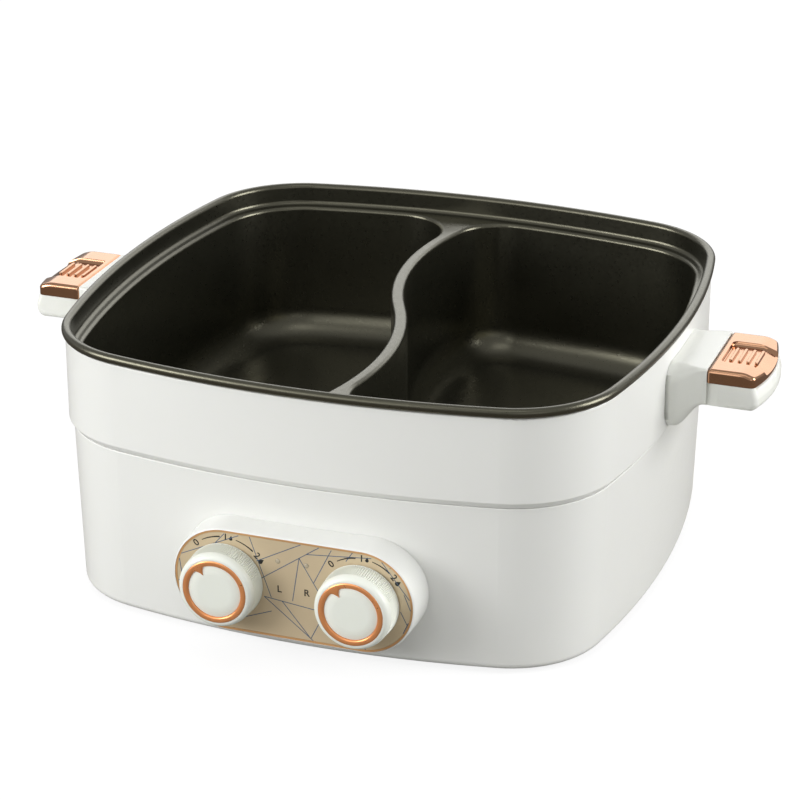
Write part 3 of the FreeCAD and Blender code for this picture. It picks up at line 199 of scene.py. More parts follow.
def makeWhitePlastic(name, colour, roughness):
    return makeFinish(name, {
        "colour": colour,
        "roughness": roughness,
        "gloss": 0.035,
        "mottle": 0.008,
        "mottleScale": 14.0,
        "grain": 420.0,       # orange peel left by the mould
        "grainDetail": 2.0,
        "grainStrength": 0.25,
        "grainDepth": 0.00003,
        "shader": {
            "Coat Weight": 0.18,
            "Coat Roughness": 0.16,
            "Specular IOR Level": 0.45,
            "Subsurface Weight": 0.06,
            "Subsurface Radius": (0.004, 0.004, 0.003),
            "Subsurface Scale": 0.5,
        },
    })


def makeCoating():
    return makeFinish("nonstickCoating", {
        "colour": (0.0046, 0.0047, 0.0032),
        "roughness": 0.30,
        "gloss": 0.03,
        "mottle": 0.18,
        "mottleScale": 60.0,
        "grain": 1500.0,      # fine specks of the sprayed coating
        "grainDetail": 2.0,
        "grainStrength": 0.3,
        "grainDepth": 0.00003,
        "shader": {
            "IOR": 1.9,       # high for the ceramic-filled coating
            "Specular Tint": (1.0, 0.96, 0.72, 1.0),
        },
    })


def makeCopper(name, colour, roughness, metallic):
    return makeFinish(name, {
        "colour": colour,
        "roughness": roughness,
        "gloss": 0.03,
        "mottle": 0.05,
        "mottleScale": 40.0,
        "grain": 2400.0,      # faint polishing grain
        "grainDetail": 2.0,
        "grainStrength": 0.2,
        "grainDepth": 0.000006,
        "shader": {"Metallic": metallic},
    })


def makePanelPrint():
    return makeFinish("panelPrint", {
        "colour": (0.66, 0.535, 0.355),
        "roughness": 0.36,
        "gloss": 0.05,
        "mottle": 0.04,
        "mottleScale": 25.0,
        "grain": 2600.0,      # metallic flakes of the printed film
        "grainDetail": 2.0,
        "grainStrength": 0.25,
        "grainDepth": 0.00001,
        "shader": {"Metallic": 0.25, "Coat Weight": 0.3, "Coat Roughness": 0.2},
    })


def makeInk(name, colour):
    return makeFinish(name, {
        "colour": colour,
        "roughness": 0.5,
        "gloss": 0.05,
        "mottle": 0.15,
        "mottleScale": 500.0,
    })


def makeLens():
    return makeFinish("lampLens", {
        "colour": (0.60, 0.52, 0.38),
        "roughness": 0.18,
        "gloss": 0.04,
        "mottle": 0.08,
        "mottleScale": 300.0,
        "shader": {"Transmission Weight": 0.25, "IOR": 1.49, "Coat Weight": 0.5},
    })


def makeMoulding(name, colour, roughness):
    return makeFinish(name, {
        "colour": colour,
        "roughness": roughness,
        "gloss": 0.06,
        "mottle": 0.06,
        "mottleScale": 30.0,
        "grain": 1100.0,      # eroded mould texture
        "grainDetail": 3.0,
        "grainStrength": 0.35,
        "grainDepth": 0.00005,
    })


def makeRubber():
    return makeFinish("footRubber", {
        "colour": (0.028, 0.028, 0.028),
        "roughness": 0.78,
        "gloss": 0.08,
        "mottle": 0.2,
        "mottleScale": 80.0,
        "grain": 1600.0,
        "grainDetail": 3.0,
        "grainStrength": 0.4,
        "grainDepth": 0.00006,
    })


def weaveHeight(tree, look):
    return waves(tree, objectPlace(tree), Scale=look["grain"], Distortion=0.5)


def makeBoard():
    return makeFinish("circuitBoard", {
        "colour": (0.02, 0.16, 0.06),
        "roughness": 0.35,
        "gloss": 0.05,
        "mottle": 0.2,
        "mottleScale": 200.0,
        "grain": 900.0,       # glass cloth under the lacquer
        "grainStrength": 0.2,
        "grainDepth": 0.00002,
    }, weaveHeight)


def braidHeight(tree, look):
    # two sets of threads that cross
    threads = []
    for turn in (0.9, -0.9):
        place = objectPlace(tree, turn=(turn, 0.4, turn))
        threads.append(waves(tree, place, Scale=look["grain"], Distortion=0.3))
    return combine(tree, "MAXIMUM", threads[0], threads[1])


def makeSleeve():
    return makeFinish("wireSleeve", {
        "colour": (0.62, 0.60, 0.54),
        "roughness": 0.85,
        "gloss": 0.05,
        "mottle": 0.12,
        "mottleScale": 150.0,
        "grain": 420.0,       # threads of the glass sleeve
        "grainStrength": 0.6,
        "grainDepth": 0.00025,
        "shader": {"Sheen Weight": 0.3},
    }, braidHeight)


def makeMetal(name, colour, roughness, stretch=(1, 1, 1), grain=700.0):
    return makeFinish(name, {
        "colour": colour,
        "roughness": roughness,
        "gloss": 0.03,
        "mottle": 0.05,
        "mottleScale": 30.0,
        "grain": grain,
        "stretch": stretch,
        "grainDetail": 3.0,
        "grainStrength": 0.3,
        "grainDepth": 0.00002,
        "shader": {"Metallic": 1.0},
    })


def ringHeight(tree, look):
    place = objectPlace(tree, centre=look["centre"])
    return waves(tree, place, wave_type="RINGS", rings_direction="Z", Scale=look["grain"], Distortion=0.1)


def makeTurnedAluminium(side):
    low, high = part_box("heater_plate_" + side)
    return makeFinish("turnedAluminium" + side.capitalize(), {
        "colour": (0.60, 0.60, 0.60),
        "roughness": 0.34,
        "gloss": 0.06,
        "mottle": 0.06,
        "mottleScale": 40.0,
        "grain": 260.0,       # rings left by facing the plate on a lathe
        "centre": (-(low.x + high.x) / 2, 0, 0),
        "grainStrength": 0.4,
        "grainDepth": 0.00004,
        "shader": {"Metallic": 1.0},
    }, ringHeight)


print("materials")
materials = {
    "nonstick_coating": makeCoating(),
    "white_plastic": makeWhitePlastic("whitePlastic", (0.80, 0.805, 0.775), 0.34),
    "copper_plating": makeCopper("copperPlating", (0.475, 0.262, 0.155), 0.16, 1.0),
    "panel_print": makePanelPrint(),
    "lamp_lens": makeLens(),
    "foot_rubber": makeRubber(),
    "grey_plastic": makeMoulding("greyPlastic", (0.33, 0.33, 0.32), 0.55),
    "dark_plastic": makeMoulding("darkPlastic", (0.012, 0.012, 0.012), 0.45),
    "circuit_board": makeBoard(),
    "wire_sleeve": makeSleeve(),
    "plated_brass": makeMetal("platedBrass", (0.72, 0.62, 0.40), 0.25, grain=1500.0),
    "cast_aluminium": makeMetal("castAluminium", (0.60, 0.60, 0.60), 0.4),
    "copper_tube": makeMetal("copperTube", (0.75, 0.38, 0.24), 0.3, grain=1200.0),
    "steel": makeMetal("sheetSteel", (0.52, 0.52, 0.52), 0.32, stretch=(1, 12, 12)),
}
knobPlastic = makeWhitePlastic("knobPlastic", (0.80, 0.825, 0.755), 0.36)
# painted light: a lighter copy of the body's white plastic, so that the handles' shaded sides come out
# brighter
handlePlasticPaintedLight = makeWhitePlastic("handlePlasticPaintedLight", (0.84, 0.85, 0.80), 0.34)
ringCopper = makeCopper("ringCopper", (0.88, 0.36, 0.14), 0.3, 0.6)
borderCopper = makeCopper("borderCopper", (0.68, 0.38, 0.17), 0.35, 0.35)
lineInk = makeInk("lineInk", (0.085, 0.13, 0.21))
markInk = makeInk("markInk", (0.012, 0.012, 0.012))


def dress(node, material):
    mesh = nodes[node].data
    mesh.materials.clear()
    mesh.materials.append(material)


for part in frame["record"]["subparts"]:
    dress(part["node"], materials[part["material_slot"]])
for side in sides:
    dress("heater_plate_" + side, makeTurnedAluminium(side))
dress("panel_border", borderCopper)

merging = {
    "newWithin": 1e-7,        # metres; corners this close are one
    "cadWithin": 2e-6,
}


def finishPiece(mesh, name, material, body, replaced=(), sharp=35.0):
    # turns a bmesh into a piece that rides on its body
    bmesh.ops.remove_doubles(mesh, verts=mesh.verts, dist=merging["newWithin"])
    bmesh.ops.recalc_face_normals(mesh, faces=mesh.faces)
    data = bpy.data.meshes.new(name)
    mesh.to_mesh(data)
    mesh.free()
    for polygon in data.polygons:
        polygon.use_smooth = True
    data.set_sharp_from_angle(angle=math.radians(sharp))
    data.materials.append(material)
    piece = bpy.data.objects.new(name, data)
    bpy.context.scene.collection.objects.link(piece)
    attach(piece, body)
    if replaced:
        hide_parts(*replaced)
    return piece


def copyOfNode(node):
    # a bmesh of a CAD node with its loose corners merged
    mesh = bmesh.new()
    mesh.from_mesh(nodes[node].data)
    bmesh.ops.remove_doubles(mesh, verts=mesh.verts, dist=merging["cadWithin"])
    return mesh


def spinProfile(mesh, profile, centre, steps):
    # turns a profile of (radius, distance towards the front) about a line from back to front
    centre = Vector(centre)
    verts = []
    for radius, along in profile:
        verts.append(mesh.verts.new(centre + Vector((radius, -along, 0)) * mm))
    edges = [mesh.edges.new(pair) for pair in zip(verts[:-1], verts[1:])]
    bmesh.ops.spin(mesh, geom=verts + edges, cent=centre, axis=(0, -1, 0), dvec=(0, 0, 0),
                   angle=2 * math.pi, steps=steps, use_merge=True, use_duplicate=False)
    bmesh.ops.remove_doubles(mesh, verts=mesh.verts, dist=merging["newWithin"])


handleShading = {
    "flatWithin": 0.3,        # degrees; faces this close to one plane become one
    "flatWeight": 80,         # how far the large faces set the shading of their corners
    "handleSharp": 28.0,      # degrees from which an edge shades as sharp
    "capSharp": 12.0,
}


def recut(node, name, material, sharp):
    # a copy of a CAD node with its flat faces merged, so that flat and round faces shade cleanly
    mesh = copyOfNode(node)
    bmesh.ops.dissolve_limit(mesh, angle_limit=math.radians(handleShading["flatWithin"]),
                             verts=mesh.verts, edges=mesh.edges)
    piece = finishPiece(mesh, name, material, "pot", [node], sharp)
    weigh = piece.modifiers.new("flatFacesFirst", "WEIGHTED_NORMAL")
    weigh.mode = "FACE_AREA"
    weigh.weight = handleShading["flatWeight"]
    weigh.keep_sharp = True


print("handles")
for side in sides:
    recut("handle_" + side, "whiteHandle_" + side, handlePlasticPaintedLight,
          handleShading["handleSharp"])
    recut("handle_cap_" + side, "copperCap_" + side, materials["copper_plating"],
          handleShading["capSharp"])

pot = {
    "halfWidth": 165.0,       # outline of the skirt; all in millimetres
    "halfDepth": 162.0,
    "sideRadius": 550.0,
    "cornerRadius": 60.0,
    "brim": 141.3,            # the flat round the wells
    "cutAbove": 0.005,        # the new rim starts this much above it
    "lap": 0.02,              # and reaches this far over it
    "cove": 2.7,              # hollow round at the foot of the rim
    "wallInset": 3.8,         # the rim's inner wall at its foot, inside the outline
    "beadInset": 3.5,         # and where it meets the bead
    "top": 154.0,
    "bead": 5.4,
    "beadRound": 2.6,
    "overhang": 1.9,          # of the bead outside the outline
    "underRound": 0.2,        # where the bead's underside meets the wall
    "skirtInset": 2.3,
    "hiddenFoot": 0.3,        # the outer wall ends this much under the flat, inside the skirt
    "arcSteps": 24,           # of each arc of the outline
    "roundStep": 9,           # degrees in the section
}


def roundedLine(corners):
    # a line through corners of (offset, height, radius), with every corner rounded
    points = []
    for i, (x, z, radius) in enumerate(corners):
        here = Vector((x, z))
        if radius == 0:
            points.append(here)
            continue
        before = (Vector(corners[i - 1][:2]) - here).normalized()
        after = (Vector(corners[i + 1][:2]) - here).normalized()
        half = before.angle(after) / 2
        centre = here + (before + after).normalized() * radius / math.sin(half)
        first = here + before * radius / math.tan(half) - centre
        last = here + after * radius / math.tan(half) - centre
        turn = first.angle_signed(last)
        count = max(3, math.ceil(abs(math.degrees(turn)) / pot["roundStep"]))
        for step in range(count + 1):
            points.append(centre + Matrix.Rotation(-turn * step / count, 2) @ first)
    return points


def outlineArcs():
    # the eight arcs of the outline from the right side round, as (centre, start, end)
    sideX = pot["halfWidth"] - pot["sideRadius"]
    backY = pot["halfDepth"] - pot["sideRadius"]
    reach = pot["sideRadius"] - pot["cornerRadius"]
    gap = math.hypot(sideX, backY)
    rise = math.sqrt(reach ** 2 - (gap / 2) ** 2)
    cornerX = sideX / 2 - backY / gap * rise
    cornerY = backY / 2 - sideX / gap * rise
    low = math.atan2(cornerY, cornerX - sideX)
    high = math.atan2(cornerY - backY, cornerX)
    half, full = math.pi, 2 * math.pi
    return [
        ((sideX, 0), -low, low),
        ((cornerX, cornerY), low, high),
        ((0, backY), high, half - high),
        ((-cornerX, cornerY), half - high, half - low),
        ((-sideX, 0), half - low, half + low),
        ((-cornerX, -cornerY), half + low, half + high),
        ((0, -backY), half + high, full - high),
        ((cornerX, -cornerY), full - high, full - low),
    ]


def addRim(mesh):
    # the rim with its rolled edge, swept round the outline from one section
    under = pot["top"] - pot["bead"]
    line = roundedLine([
        (-pot["wallInset"] - pot["cove"] - pot["lap"], pot["brim"], 0),
        (-pot["wallInset"], pot["brim"], pot["cove"]),
        (-pot["beadInset"], pot["top"], pot["beadRound"]),
        (pot["overhang"], pot["top"], pot["beadRound"]),
        (pot["overhang"], under, pot["beadRound"]),
        (-pot["skirtInset"], under, pot["underRound"]),
        (-pot["skirtInset"], pot["brim"] - pot["hiddenFoot"], 0),
    ])
    arcs = outlineArcs()
    centre, start = arcs[0][:2]
    across = Vector((math.cos(start), math.sin(start), 0))
    middle = Vector((centre[0], centre[1], 0))
    verts = []
    for offset, height in line:
        place = middle + across * (pot["sideRadius"] + offset) + Vector((0, 0, height))
        verts.append(mesh.verts.new(place * mm))
    geometry = verts + [mesh.edges.new(pair) for pair in zip(verts[:-1], verts[1:])]
    for centre, start, end in arcs:
        made = bmesh.ops.spin(mesh, geom=geometry, cent=(centre[0] * mm, centre[1] * mm, 0),
                              axis=(0, 0, 1), dvec=(0, 0, 0), angle=end - start,
                              steps=pot["arcSteps"], use_merge=False, use_duplicate=False)
        geometry = made["geom_last"]


def makeInnerPot():
    # the CAD pot cut above its brim, with the rim added
    mesh = copyOfNode("inner_pot")
    everything = list(mesh.verts) + list(mesh.edges) + list(mesh.faces)
    cut = (0, 0, (pot["brim"] + pot["cutAbove"]) * mm)
    bmesh.ops.bisect_plane(mesh, geom=everything, plane_co=cut, plane_no=(0, 0, 1), clear_outer=True)
    bmesh.ops.recalc_face_normals(mesh, faces=mesh.faces)
    addRim(mesh)
    finishPiece(mesh, "coatedPot", materials["nonstick_coating"], "pot",
                ["inner_pot"], sharp=40.0)


print("inner pot")
makeInnerPot()

knob = {
    "back": 174.5,
    "front": 189.2,
    "radius": 21.55,
    "frontRadius": 20.75,
    "shaftHole": 3.1,
    "hollow": 17.9,           # the back stands back inside this radius
    "hollowEdge": 18.4,
    "hollowDepth": 0.1,
    "backBevel": 0.35,
    "backRound": 0.08,
    "rings": (0.4, 0.8, 1.6, 3.0, 4.6, 6.2, 7.8, 8.8, 9.4, 10.0, 10.6, 11.4),
    "edge": 2.9,              # rounding towards the front
    "edgeSteps": 8,
    "seatOuter": 18.05,       # groove for the copper ring
    "seatInner": 14.65,
    "seatDepth": 1.1,
    "seatBevel": 0.1,
    "seatLip": 0.02,
    "faceDepth": 0.5,
    "faceEdge": 0.15,
    "faceBevel": 0.12,
    "faceRings": (9.0, 4.0, 0.0),
    "ribs": 108,
    "ribSteps": 4,            # mesh steps for each rib
    "ribDepth": 0.8,
    "ribPower": 1.2,          # above 1 the grooves are narrower than the ribs
    "ribStart": 0.6,          # from the back of the knob
    "ribEnd": 10.6,
    "fade": 1.6,
    "ribbedFrom": 20.0,       # radius
}


def knobProfile():
    back, front = knob["back"], knob["front"]
    edge = knob["edge"]

    def sideAt(along):
        share = (along - back) / (front - back)
        return knob["radius"] + (knob["frontRadius"] - knob["radius"]) * share

    profile = [
        (knob["shaftHole"], back + knob["hollowDepth"]),
        (knob["hollow"], back + knob["hollowDepth"]),
        (knob["hollowEdge"], back),
        (sideAt(back) - knob["backBevel"], back),
        (sideAt(back) - knob["backRound"], back + knob["hollowDepth"]),
    ]
    for along in knob["rings"]:
        profile.append((sideAt(back + along), back + along))
    for i in range(1, knob["edgeSteps"] + 1):
        turn = math.radians(90 * i / knob["edgeSteps"])
        radius = knob["frontRadius"] - edge + edge * math.cos(turn)
        profile.append((radius, front - edge + edge * math.sin(turn)))
    profile += [
        (knob["seatOuter"] + knob["seatBevel"], front - knob["seatLip"]),
        (knob["seatOuter"], front - 2 * knob["seatBevel"]),
        (knob["seatOuter"], front - knob["seatDepth"]),
        (knob["seatInner"], front - knob["seatDepth"]),
        (knob["seatInner"], front - knob["faceDepth"] - knob["faceBevel"]),
        (knob["seatInner"] - knob["faceEdge"], front - knob["faceDepth"]),
    ]
    return profile + [(radius, front - knob["faceDepth"]) for radius in knob["faceRings"]]


def makeKnob(side):
    centre = dialCentre(side)
    mesh = bmesh.new()
    spinProfile(mesh, knobProfile(), centre, knob["ribs"] * knob["ribSteps"])
    for vert in mesh.verts:
        along = -vert.co.y / mm - knob["back"]
        offset = Vector((vert.co.x - centre.x, 0, vert.co.z - centre.z))
        if offset.length / mm < knob["ribbedFrom"] or along > knob["ribEnd"] + knob["fade"]:
            continue
        angle = math.atan2(offset.z, offset.x)
        wave = (0.5 - 0.5 * math.cos(angle * knob["ribs"])) ** knob["ribPower"]
        start = smoothStep((along - knob["hollowDepth"]) / knob["ribStart"])
        end = smoothStep((knob["ribEnd"] - along) / knob["fade"])
        vert.co -= offset.normalized() * knob["ribDepth"] * wave * start * end * mm
    finishPiece(mesh, "knurledKnob_" + side, knobPlastic, "knob_" + side,
                ["knob_" + side], sharp=50.0)


ring = {
    "inner": 14.75,
    "outer": 17.95,
    "low": 188.1,
    "top": 189.65,
    "flank": 0.35,            # share of its height that is upright
    "fullness": 0.8,          # of the round above, 1 is a plain round
    "roundSteps": 12,
    "steps": 360,
    "tip": 10.5,              # radius of the pointer's tip
    "angle": 125.0,           # from the right, anticlockwise, with the knob at off
    "halfAngle": 12.5,
    "taper": 1.5,             # above 1 the pointer's flanks are hollow
    "drawnFrom": 0.35,        # share of the half width from which it is drawn inwards
}


def makeKnobRing(side):
    centre = dialCentre(side)
    middle = (ring["inner"] + ring["outer"]) / 2
    half = (ring["outer"] - ring["inner"]) / 2
    rise = ring["top"] - ring["low"]
    profile = [(ring["outer"], ring["low"])]
    for i in range(ring["roundSteps"] + 1):
        turn = math.pi * i / ring["roundSteps"]
        share = ring["flank"] + (1 - ring["flank"]) * math.sin(turn) ** ring["fullness"]
        profile.append((middle + half * math.cos(turn), ring["low"] + rise * share))
    profile += [(ring["inner"], ring["low"]), (ring["outer"], ring["low"])]
    mesh = bmesh.new()
    spinProfile(mesh, profile, centre, ring["steps"])
    for vert in mesh.verts:
        offset = Vector((vert.co.x - centre.x, 0, vert.co.z - centre.z))
        angle = math.degrees(math.atan2(offset.z, offset.x))
        near = 1 - abs((angle - ring["angle"] + 180) % 360 - 180) / ring["halfAngle"]
        if near <= 0:
            continue
        drawn = (middle + half * ring["drawnFrom"] - offset.length / mm) / (half * (1 + ring["drawnFrom"]))
        pull = (ring["inner"] - ring["tip"]) * near ** ring["taper"] * smoothStep(drawn)
        vert.co -= offset.normalized() * pull * mm
    finishPiece(mesh, "knobRing_" + side, ringCopper, "knob_" + side,
                ["knob_ring_" + side], sharp=60.0)


print("knobs")
for side in sides:
    makeKnob(side)
    makeKnobRing(side)

printing = {
    "proud": 0.05,            # thickness of the ink
    "lineWidth": 0.42,
    "lineInset": 0.15,        # the lines stop this much inside the border
    "lineSteps": 400,         # places tried along a line to find where it stops
    "arcRadius": 25.0,
    "arcs": ((-31, -6), (15, 40)),    # degrees clockwise from the top
    "arcSteps": 16,
    "arcWidth": 0.42,
    "arcGrowth": 0.45,
    "boldness": 0.08,
    "letterSize": 5.4,
    "letterSteps": 6,         # of each curve in a letter
    "numbers": (("0", -40), ("1", 1.5), ("2", 47)),
    "flames": (("low", 2.0, 8.5, 24.7), ("high", 2.6, 55.5, 24.5)),  # name, size, angle, radius
    "flameHeight": 1.9,       # of its upper half, against a plain circle
    "flameTaper": 0.7,
    "flameSteps": 24,
    "letters": (("L", -7.4, -0.4), ("R", 8.0, -0.2)),
}

# an open net of slanted lines, with places across and up from the middle of the panel
panelNet = [
    ((-66, 10), (-30, 27)), ((-66, -6), (-38, 27)), ((-60, -22), (-66, 22)),
    ((-24, 28), (-12, -6)), ((-18, 4), (16, 28)), ((-16, -6), (12, -28)),
    ((-20, 14), (6, 28)), ((4, 19.5), (0, -6)), ((4, 19.5), (18, -4)),
    ((-16, -6), (20, -10)), ((12, 6.5), (22, 27)), ((8, 22.4), (44, 26)),
    ((-12, -14), (-40, -25)), ((10, -26.5), (-6, -7)), ((18, -10), (10, -26.5)),
    ((20, -16), (42, -28)), ((48, 27), (66, 4)), ((54, 22), (66, 20)),
    ((66, -4), (58, -22)), ((60, -2), (66, -14)), ((62, 8), (66, -2)),
    ((-52, -22), (-66, -10)), ((-48, -28), (-44, -20)), ((34, 28), (30, 22)),
]


def panelPoint(x, z, proud=0.0):
    return Vector((panel["middle"] + x, -panel["front"] - proud, panel["dialHeight"] + z)) * mm


def markPlace(side, angle, radius):
    # across and up from the middle of the panel, at a clockwise angle round a dial
    turn = math.radians(90 - angle)
    return toSide(side, panel["dialSpacing"]) + radius * math.cos(turn), radius * math.sin(turn)


def inPanel(x, z):
    across = max(0.0, abs(x) - panel["dialSpacing"])
    return math.hypot(across, z) <= panel["radius"] - printing["lineInset"]


def clipLine(start, end):
    # keeps the run of a straight line that lies inside the border
    inside = []
    for i in range(printing["lineSteps"] + 1):
        share = i / printing["lineSteps"]
        x = start[0] + (end[0] - start[0]) * share
        z = start[1] + (end[1] - start[1]) * share
        if inPanel(x, z):
            inside.append((x, z))
    return inside[0], inside[-1]


def addStroke(mesh, start, end, width):
    # a thin flat bar of ink between two places on the panel
    length = math.hypot(end[0] - start[0], end[1] - start[1])
    angle = math.atan2(end[1] - start[1], end[0] - start[0])
    middle = panelPoint((start[0] + end[0]) / 2, (start[1] + end[1]) / 2, printing["proud"] / 2)
    size = Matrix.Diagonal((length * mm, printing["proud"] * mm, width * mm, 1))
    turn = Matrix.Rotation(-angle, 4, "Y")
    bmesh.ops.create_cube(mesh, size=1.0, matrix=Matrix.Translation(middle) @ turn @ size)


def makePanelLines():
    mesh = bmesh.new()
    for start, end in panelNet:
        first, last = clipLine(start, end)
        addStroke(mesh, first, last, printing["lineWidth"])
    finishPiece(mesh, "panelLines", lineInk, "base")


def thicken(mesh, towards):
    # gives flat ink its thickness
    solid = bmesh.ops.extrude_face_region(mesh, geom=list(mesh.faces))
    moved = [item for item in solid["geom"] if isinstance(item, bmesh.types.BMVert)]
    bmesh.ops.translate(mesh, verts=moved, vec=Vector(towards) * printing["proud"] * mm)


def addArc(mesh, side, start, end):
    # a flat printed arc beside a dial
    half = printing["arcWidth"] / 2
    verts = []
    for radius in (printing["arcRadius"] - half, printing["arcRadius"] + half):
        x, z = markPlace(side, start, radius)
        verts.append(mesh.verts.new(panelPoint(x, z, printing["proud"])))
    edge = mesh.edges.new(verts)
    centre = panelPoint(toSide(side, panel["dialSpacing"]), 0, printing["proud"])
    bmesh.ops.spin(mesh, geom=verts + [edge], cent=centre, axis=(0, 1, 0), dvec=(0, 0, 0),
                   angle=math.radians(end - start), steps=printing["arcSteps"],
                   use_merge=False, use_duplicate=False)


def makeDialArcs(side):
    # the arcs grow a little wider as they go clockwise
    mesh = bmesh.new()
    for start, end in printing["arcs"]:
        addArc(mesh, side, start, end)
    thicken(mesh, (0, 1, 0))
    centre = dialCentre(side)
    for vert in mesh.verts:
        offset = Vector((vert.co.x - centre.x, 0, vert.co.z - centre.z))
        angle = 90 - math.degrees(math.atan2(offset.z, offset.x))
        for start, end in printing["arcs"]:
            if start - 1 < angle < end + 1:    # within a degree of this arc
                share = (angle - start) / (end - start)
        outward = 1 if offset.length / mm > printing["arcRadius"] else -1
        vert.co += offset.normalized() * outward * printing["arcGrowth"] / 2 * share * mm
    finishPiece(mesh, "dialArcs_" + side, markInk, "base")


def standUp(mesh, place, turn):
    # a drawing made flat on the floor is stood up on the panel and turned clockwise
    upright = Matrix.Rotation(math.radians(90), 4, "X")
    clockwise = Matrix.Rotation(math.radians(-turn), 4, "Z")
    bmesh.ops.transform(mesh, matrix=Matrix.Translation(place) @ upright @ clockwise, verts=mesh.verts)


def makeLetter(name, text, x, z, turn):
    # one printed character, middle at (x, z) on the panel, turned clockwise
    curve = bpy.data.curves.new(name, "FONT")
    curve.body = text
    curve.size = printing["letterSize"] * mm
    curve.extrude = printing["proud"] / 2 * mm
    curve.offset = printing["boldness"] * mm
    curve.align_x = "CENTER"
    curve.align_y = "CENTER"
    curve.resolution_u = printing["letterSteps"]
    holder = bpy.data.objects.new(name, curve)
    data = bpy.data.meshes.new_from_object(holder)
    bpy.data.objects.remove(holder)
    mesh = bmesh.new()
    mesh.from_mesh(data)
    bpy.data.meshes.remove(data)
    standUp(mesh, panelPoint(x, z, printing["proud"] / 2), turn)
    finishPiece(mesh, name, markInk, "base")


def makeFlame(name, side, size, angle, radius):
    # a small drop-shaped flame printed after a number
    mesh = bmesh.new()
    bmesh.ops.create_circle(mesh, cap_ends=True, segments=printing["flameSteps"], radius=0.5)
    for vert in mesh.verts:
        if vert.co.y > 0:
            vert.co.x *= (1 - vert.co.y / 0.5) ** printing["flameTaper"]
            vert.co.y *= printing["flameHeight"]
    bmesh.ops.scale(mesh, vec=(size * mm, size * mm, 1), verts=mesh.verts)
    thicken(mesh, (0, 0, 1))
    standUp(mesh, panelPoint(*markPlace(side, angle, radius)), angle)
    finishPiece(mesh, name, markInk, "base")


print("panel print")
makePanelLines()
for side in sides:
    makeDialArcs(side)
    for text, angle in printing["numbers"]:
        x, z = markPlace(side, angle, printing["arcRadius"])
        makeLetter("mark_" + side + "_" + text, text, x, z, angle)
    for level, size, angle, radius in printing["flames"]:
        makeFlame("flame_" + side + "_" + level, side, size, angle, radius)
for text, x, z in printing["letters"]:
    makeLetter("mark_" + text, text, x, z, 0)

lamp = {
    "radius": 1.3,
    "height": 60.3,
    "spacing": 8.0,           # from the middle of the panel
    "dome": 0.3,
    "domeSteps": 6,
    "back": 168.1,
    "steps": 32,
}


def makeLamp(side):
    x = panel["middle"] + toSide(side, lamp["spacing"])
    profile = [(0.0, lamp["back"]), (lamp["radius"], lamp["back"]), (lamp["radius"], panel["front"])]
    for i in range(1, lamp["domeSteps"] + 1):
        turn = math.radians(90 * i / lamp["domeSteps"])
        height = panel["front"] + lamp["dome"] * math.sin(turn)
        profile.append((lamp["radius"] * math.cos(turn), height))
    mesh = bmesh.new()
    spinProfile(mesh, profile, (x * mm, 0, lamp["height"] * mm), lamp["steps"])
    finishPiece(mesh, "lampDome_" + side, materials["lamp_lens"], "base",
                ["lamp_lens_" + side])


print("lamps")
for side in sides:
    makeLamp(side)

view = {
    "azimuth": 19.68,         # degrees to the right of the front
    "elevation": 22.99,
    "distance": 1.55573,
    "target": (0.00051, 0.0, 0.08298),
    "lens": 122.18,
    "sensor": 36.0,
    "farthest": 50.0,
}


def makeCamera():
    data = bpy.data.cameras.new("camera")
    data.lens = view["lens"]
    data.sensor_width = view["sensor"]
    data.clip_end = view["farthest"]
    camera = bpy.data.objects.new("camera", data)
    turn = math.radians(view["azimuth"])
    rise = math.radians(view["elevation"])
    away = Vector((math.sin(turn) * math.cos(rise), -math.cos(turn) * math.cos(rise), math.sin(rise)))
    camera.location = Vector(view["target"]) + away * view["distance"]
    camera.rotation_euler = away.to_track_quat("Z", "Y").to_euler()
    bpy.context.scene.collection.objects.link(camera)
    bpy.context.scene.camera = camera


floorPaper = {
    "height": -0.0001,        # just under the feet
    "size": 6.0,
    "colour": (0.9, 0.9, 0.9),
    "spread": 0.006,          # from darker to lighter patches
    "patchScale": 3.0,
    "patchDetail": 2.0,
    "roughness": 0.9,
    "shine": 0.1,
    "glow": 0.8,              # share of plain white that the camera sees on the floor
    "white": 1.06,
    "bounce": (0.32, 0.32, 0.31, 1),      # the floor as the object's sides see it
    "mirrored": (0.2, 0.18, 0.16, 1),     # and as its gloss reflects it
}


def makeFloor():
    mesh = bmesh.new()
    bmesh.ops.create_grid(mesh, x_segments=1, y_segments=1, size=floorPaper["size"],
                          matrix=Matrix.Translation((0, 0, floorPaper["height"])))
    data = bpy.data.meshes.new("floor")
    mesh.to_mesh(data)
    mesh.free()
    data.materials.append(makeFloorPaper())
    floor = bpy.data.objects.new("floor", data)
    bpy.context.scene.collection.objects.link(floor)


def makeFloorPaper():
    material, tree, shader = startMaterial("floorPaper")
    shader.inputs["Roughness"].default_value = floorPaper["roughness"]
    shader.inputs["Specular IOR Level"].default_value = floorPaper["shine"]
    darker, lighter = shades(floorPaper["colour"], floorPaper["spread"])
    patches = noise(tree, objectPlace(tree), floorPaper["patchScale"], floorPaper["patchDetail"])
    colour = ramp(tree, patches, [(mottling["low"], darker), (mottling["high"], lighter)])
    tree.links.new(colour, shader.inputs["Base Color"])
    path = addNode(tree, "ShaderNodeLightPath").outputs
    glow = addNode(tree, "ShaderNodeEmission", Strength=floorPaper["white"])
    bounce = addNode(tree, "ShaderNodeBsdfDiffuse", Color=floorPaper["bounce"])
    mirrored = addNode(tree, "ShaderNodeBsdfDiffuse", Color=floorPaper["mirrored"])
    seen = mixShaders(tree, floorPaper["glow"], shader.outputs["BSDF"], glow.outputs["Emission"])
    unseen = mixShaders(tree, path["Is Glossy Ray"], bounce.outputs["BSDF"], mirrored.outputs["BSDF"])
    whole = mixShaders(tree, path["Is Camera Ray"], unseen, seen)
    tree.links.new(whole, tree.nodes["Material Output"].inputs["Surface"])
    return material


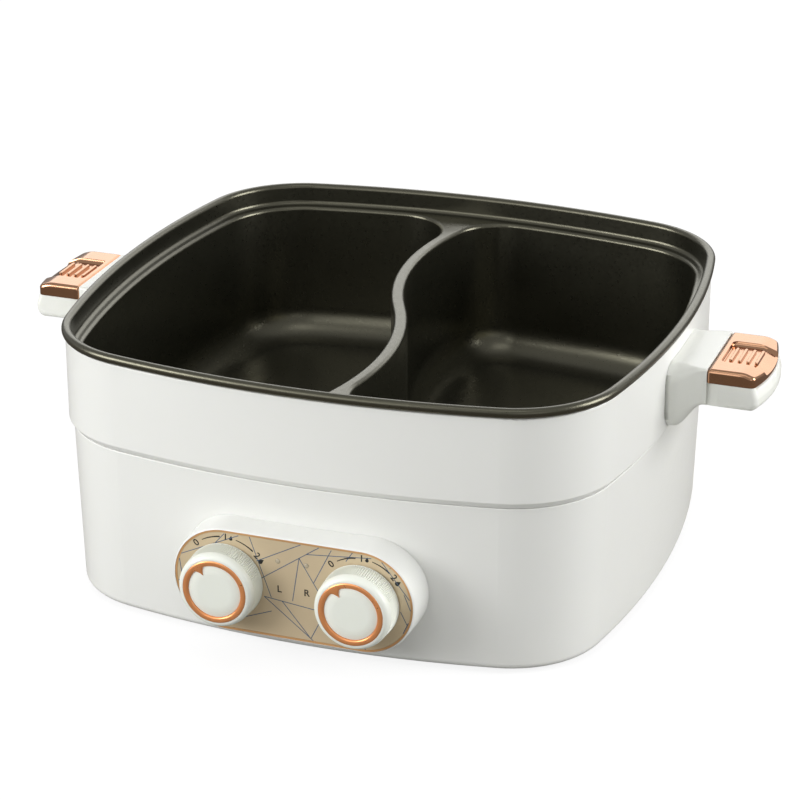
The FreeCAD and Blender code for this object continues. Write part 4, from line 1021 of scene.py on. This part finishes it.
surroundings = {
    "ambient": 0.44,
    "horizon": 0.45,          # brightness in reflections, low down
    "zenith": 0.55,           # and overhead
    "low": 0.15,              # from and to these heights of the direction
    "high": 0.6,
}


def makeWorld():
    world = bpy.data.worlds.new("studio")
    bpy.context.scene.world = world
    world.use_nodes = True
    tree = world.node_tree
    background = tree.nodes["Background"]
    background.inputs["Color"].default_value = (1, 1, 1, 1)
    path = addNode(tree, "ShaderNodeLightPath").outputs
    direction = addNode(tree, "ShaderNodeTexCoord")
    parts = addNode(tree, "ShaderNodeSeparateXYZ")
    tree.links.new(direction.outputs["Generated"], parts.inputs["Vector"])
    sky = rangeOf(tree, parts.outputs["Z"], surroundings["horizon"], surroundings["zenith"],
                  surroundings["low"], surroundings["high"])
    plain = combine(tree, "MAXIMUM", path["Is Camera Ray"], path["Is Transmission Ray"])
    plain = rangeOf(tree, plain, surroundings["ambient"], 1.0)
    glossy = path["Is Glossy Ray"]
    reflected = combine(tree, "MULTIPLY", glossy, sky)
    direct = combine(tree, "MULTIPLY", combine(tree, "SUBTRACT", 1.0, glossy), plain)
    strength = combine(tree, "ADD", reflected, direct)
    tree.links.new(strength, background.inputs["Strength"])


# place in metres, width and height in metres, power in watts
lights = {
    "keyLeft": ((-1.65, -1.35, 0.85), (1.2, 1.0), 32.0),
    "front": ((-0.7, -1.7, 1.1), (1.3, 1.2), 7.5),
    "frontRight": ((1.1, -1.5, 0.6), (0.9, 0.8), 1.5),
    "fillRight": ((1.75, 0.3, 0.75), (0.9, 1.0), 26.0),
    "back": ((-0.3, 1.9, 0.95), (3.2, 0.9), 15.4),
    "overhead": ((0.2, -0.7, 1.9), (1.0, 0.7), 2.5),
}
litPoint = Vector((0, 0, 0.08))


def makeLight(name, place, size, power):
    data = bpy.data.lights.new(name, "AREA")
    data.shape = "RECTANGLE"
    data.size = size[0]
    data.size_y = size[1]
    data.energy = power
    light = bpy.data.objects.new(name, data)
    light.location = place
    light.rotation_euler = (Vector(place) - litPoint).to_track_quat("Z", "Y").to_euler()
    bpy.context.scene.collection.objects.link(light)


print("studio")
makeCamera()
makeFloor()
makeWorld()
for name, (place, size, power) in lights.items():
    makeLight(name, place, size, power)

bpy.context.scene.view_settings.view_transform = "Standard"

print("done")
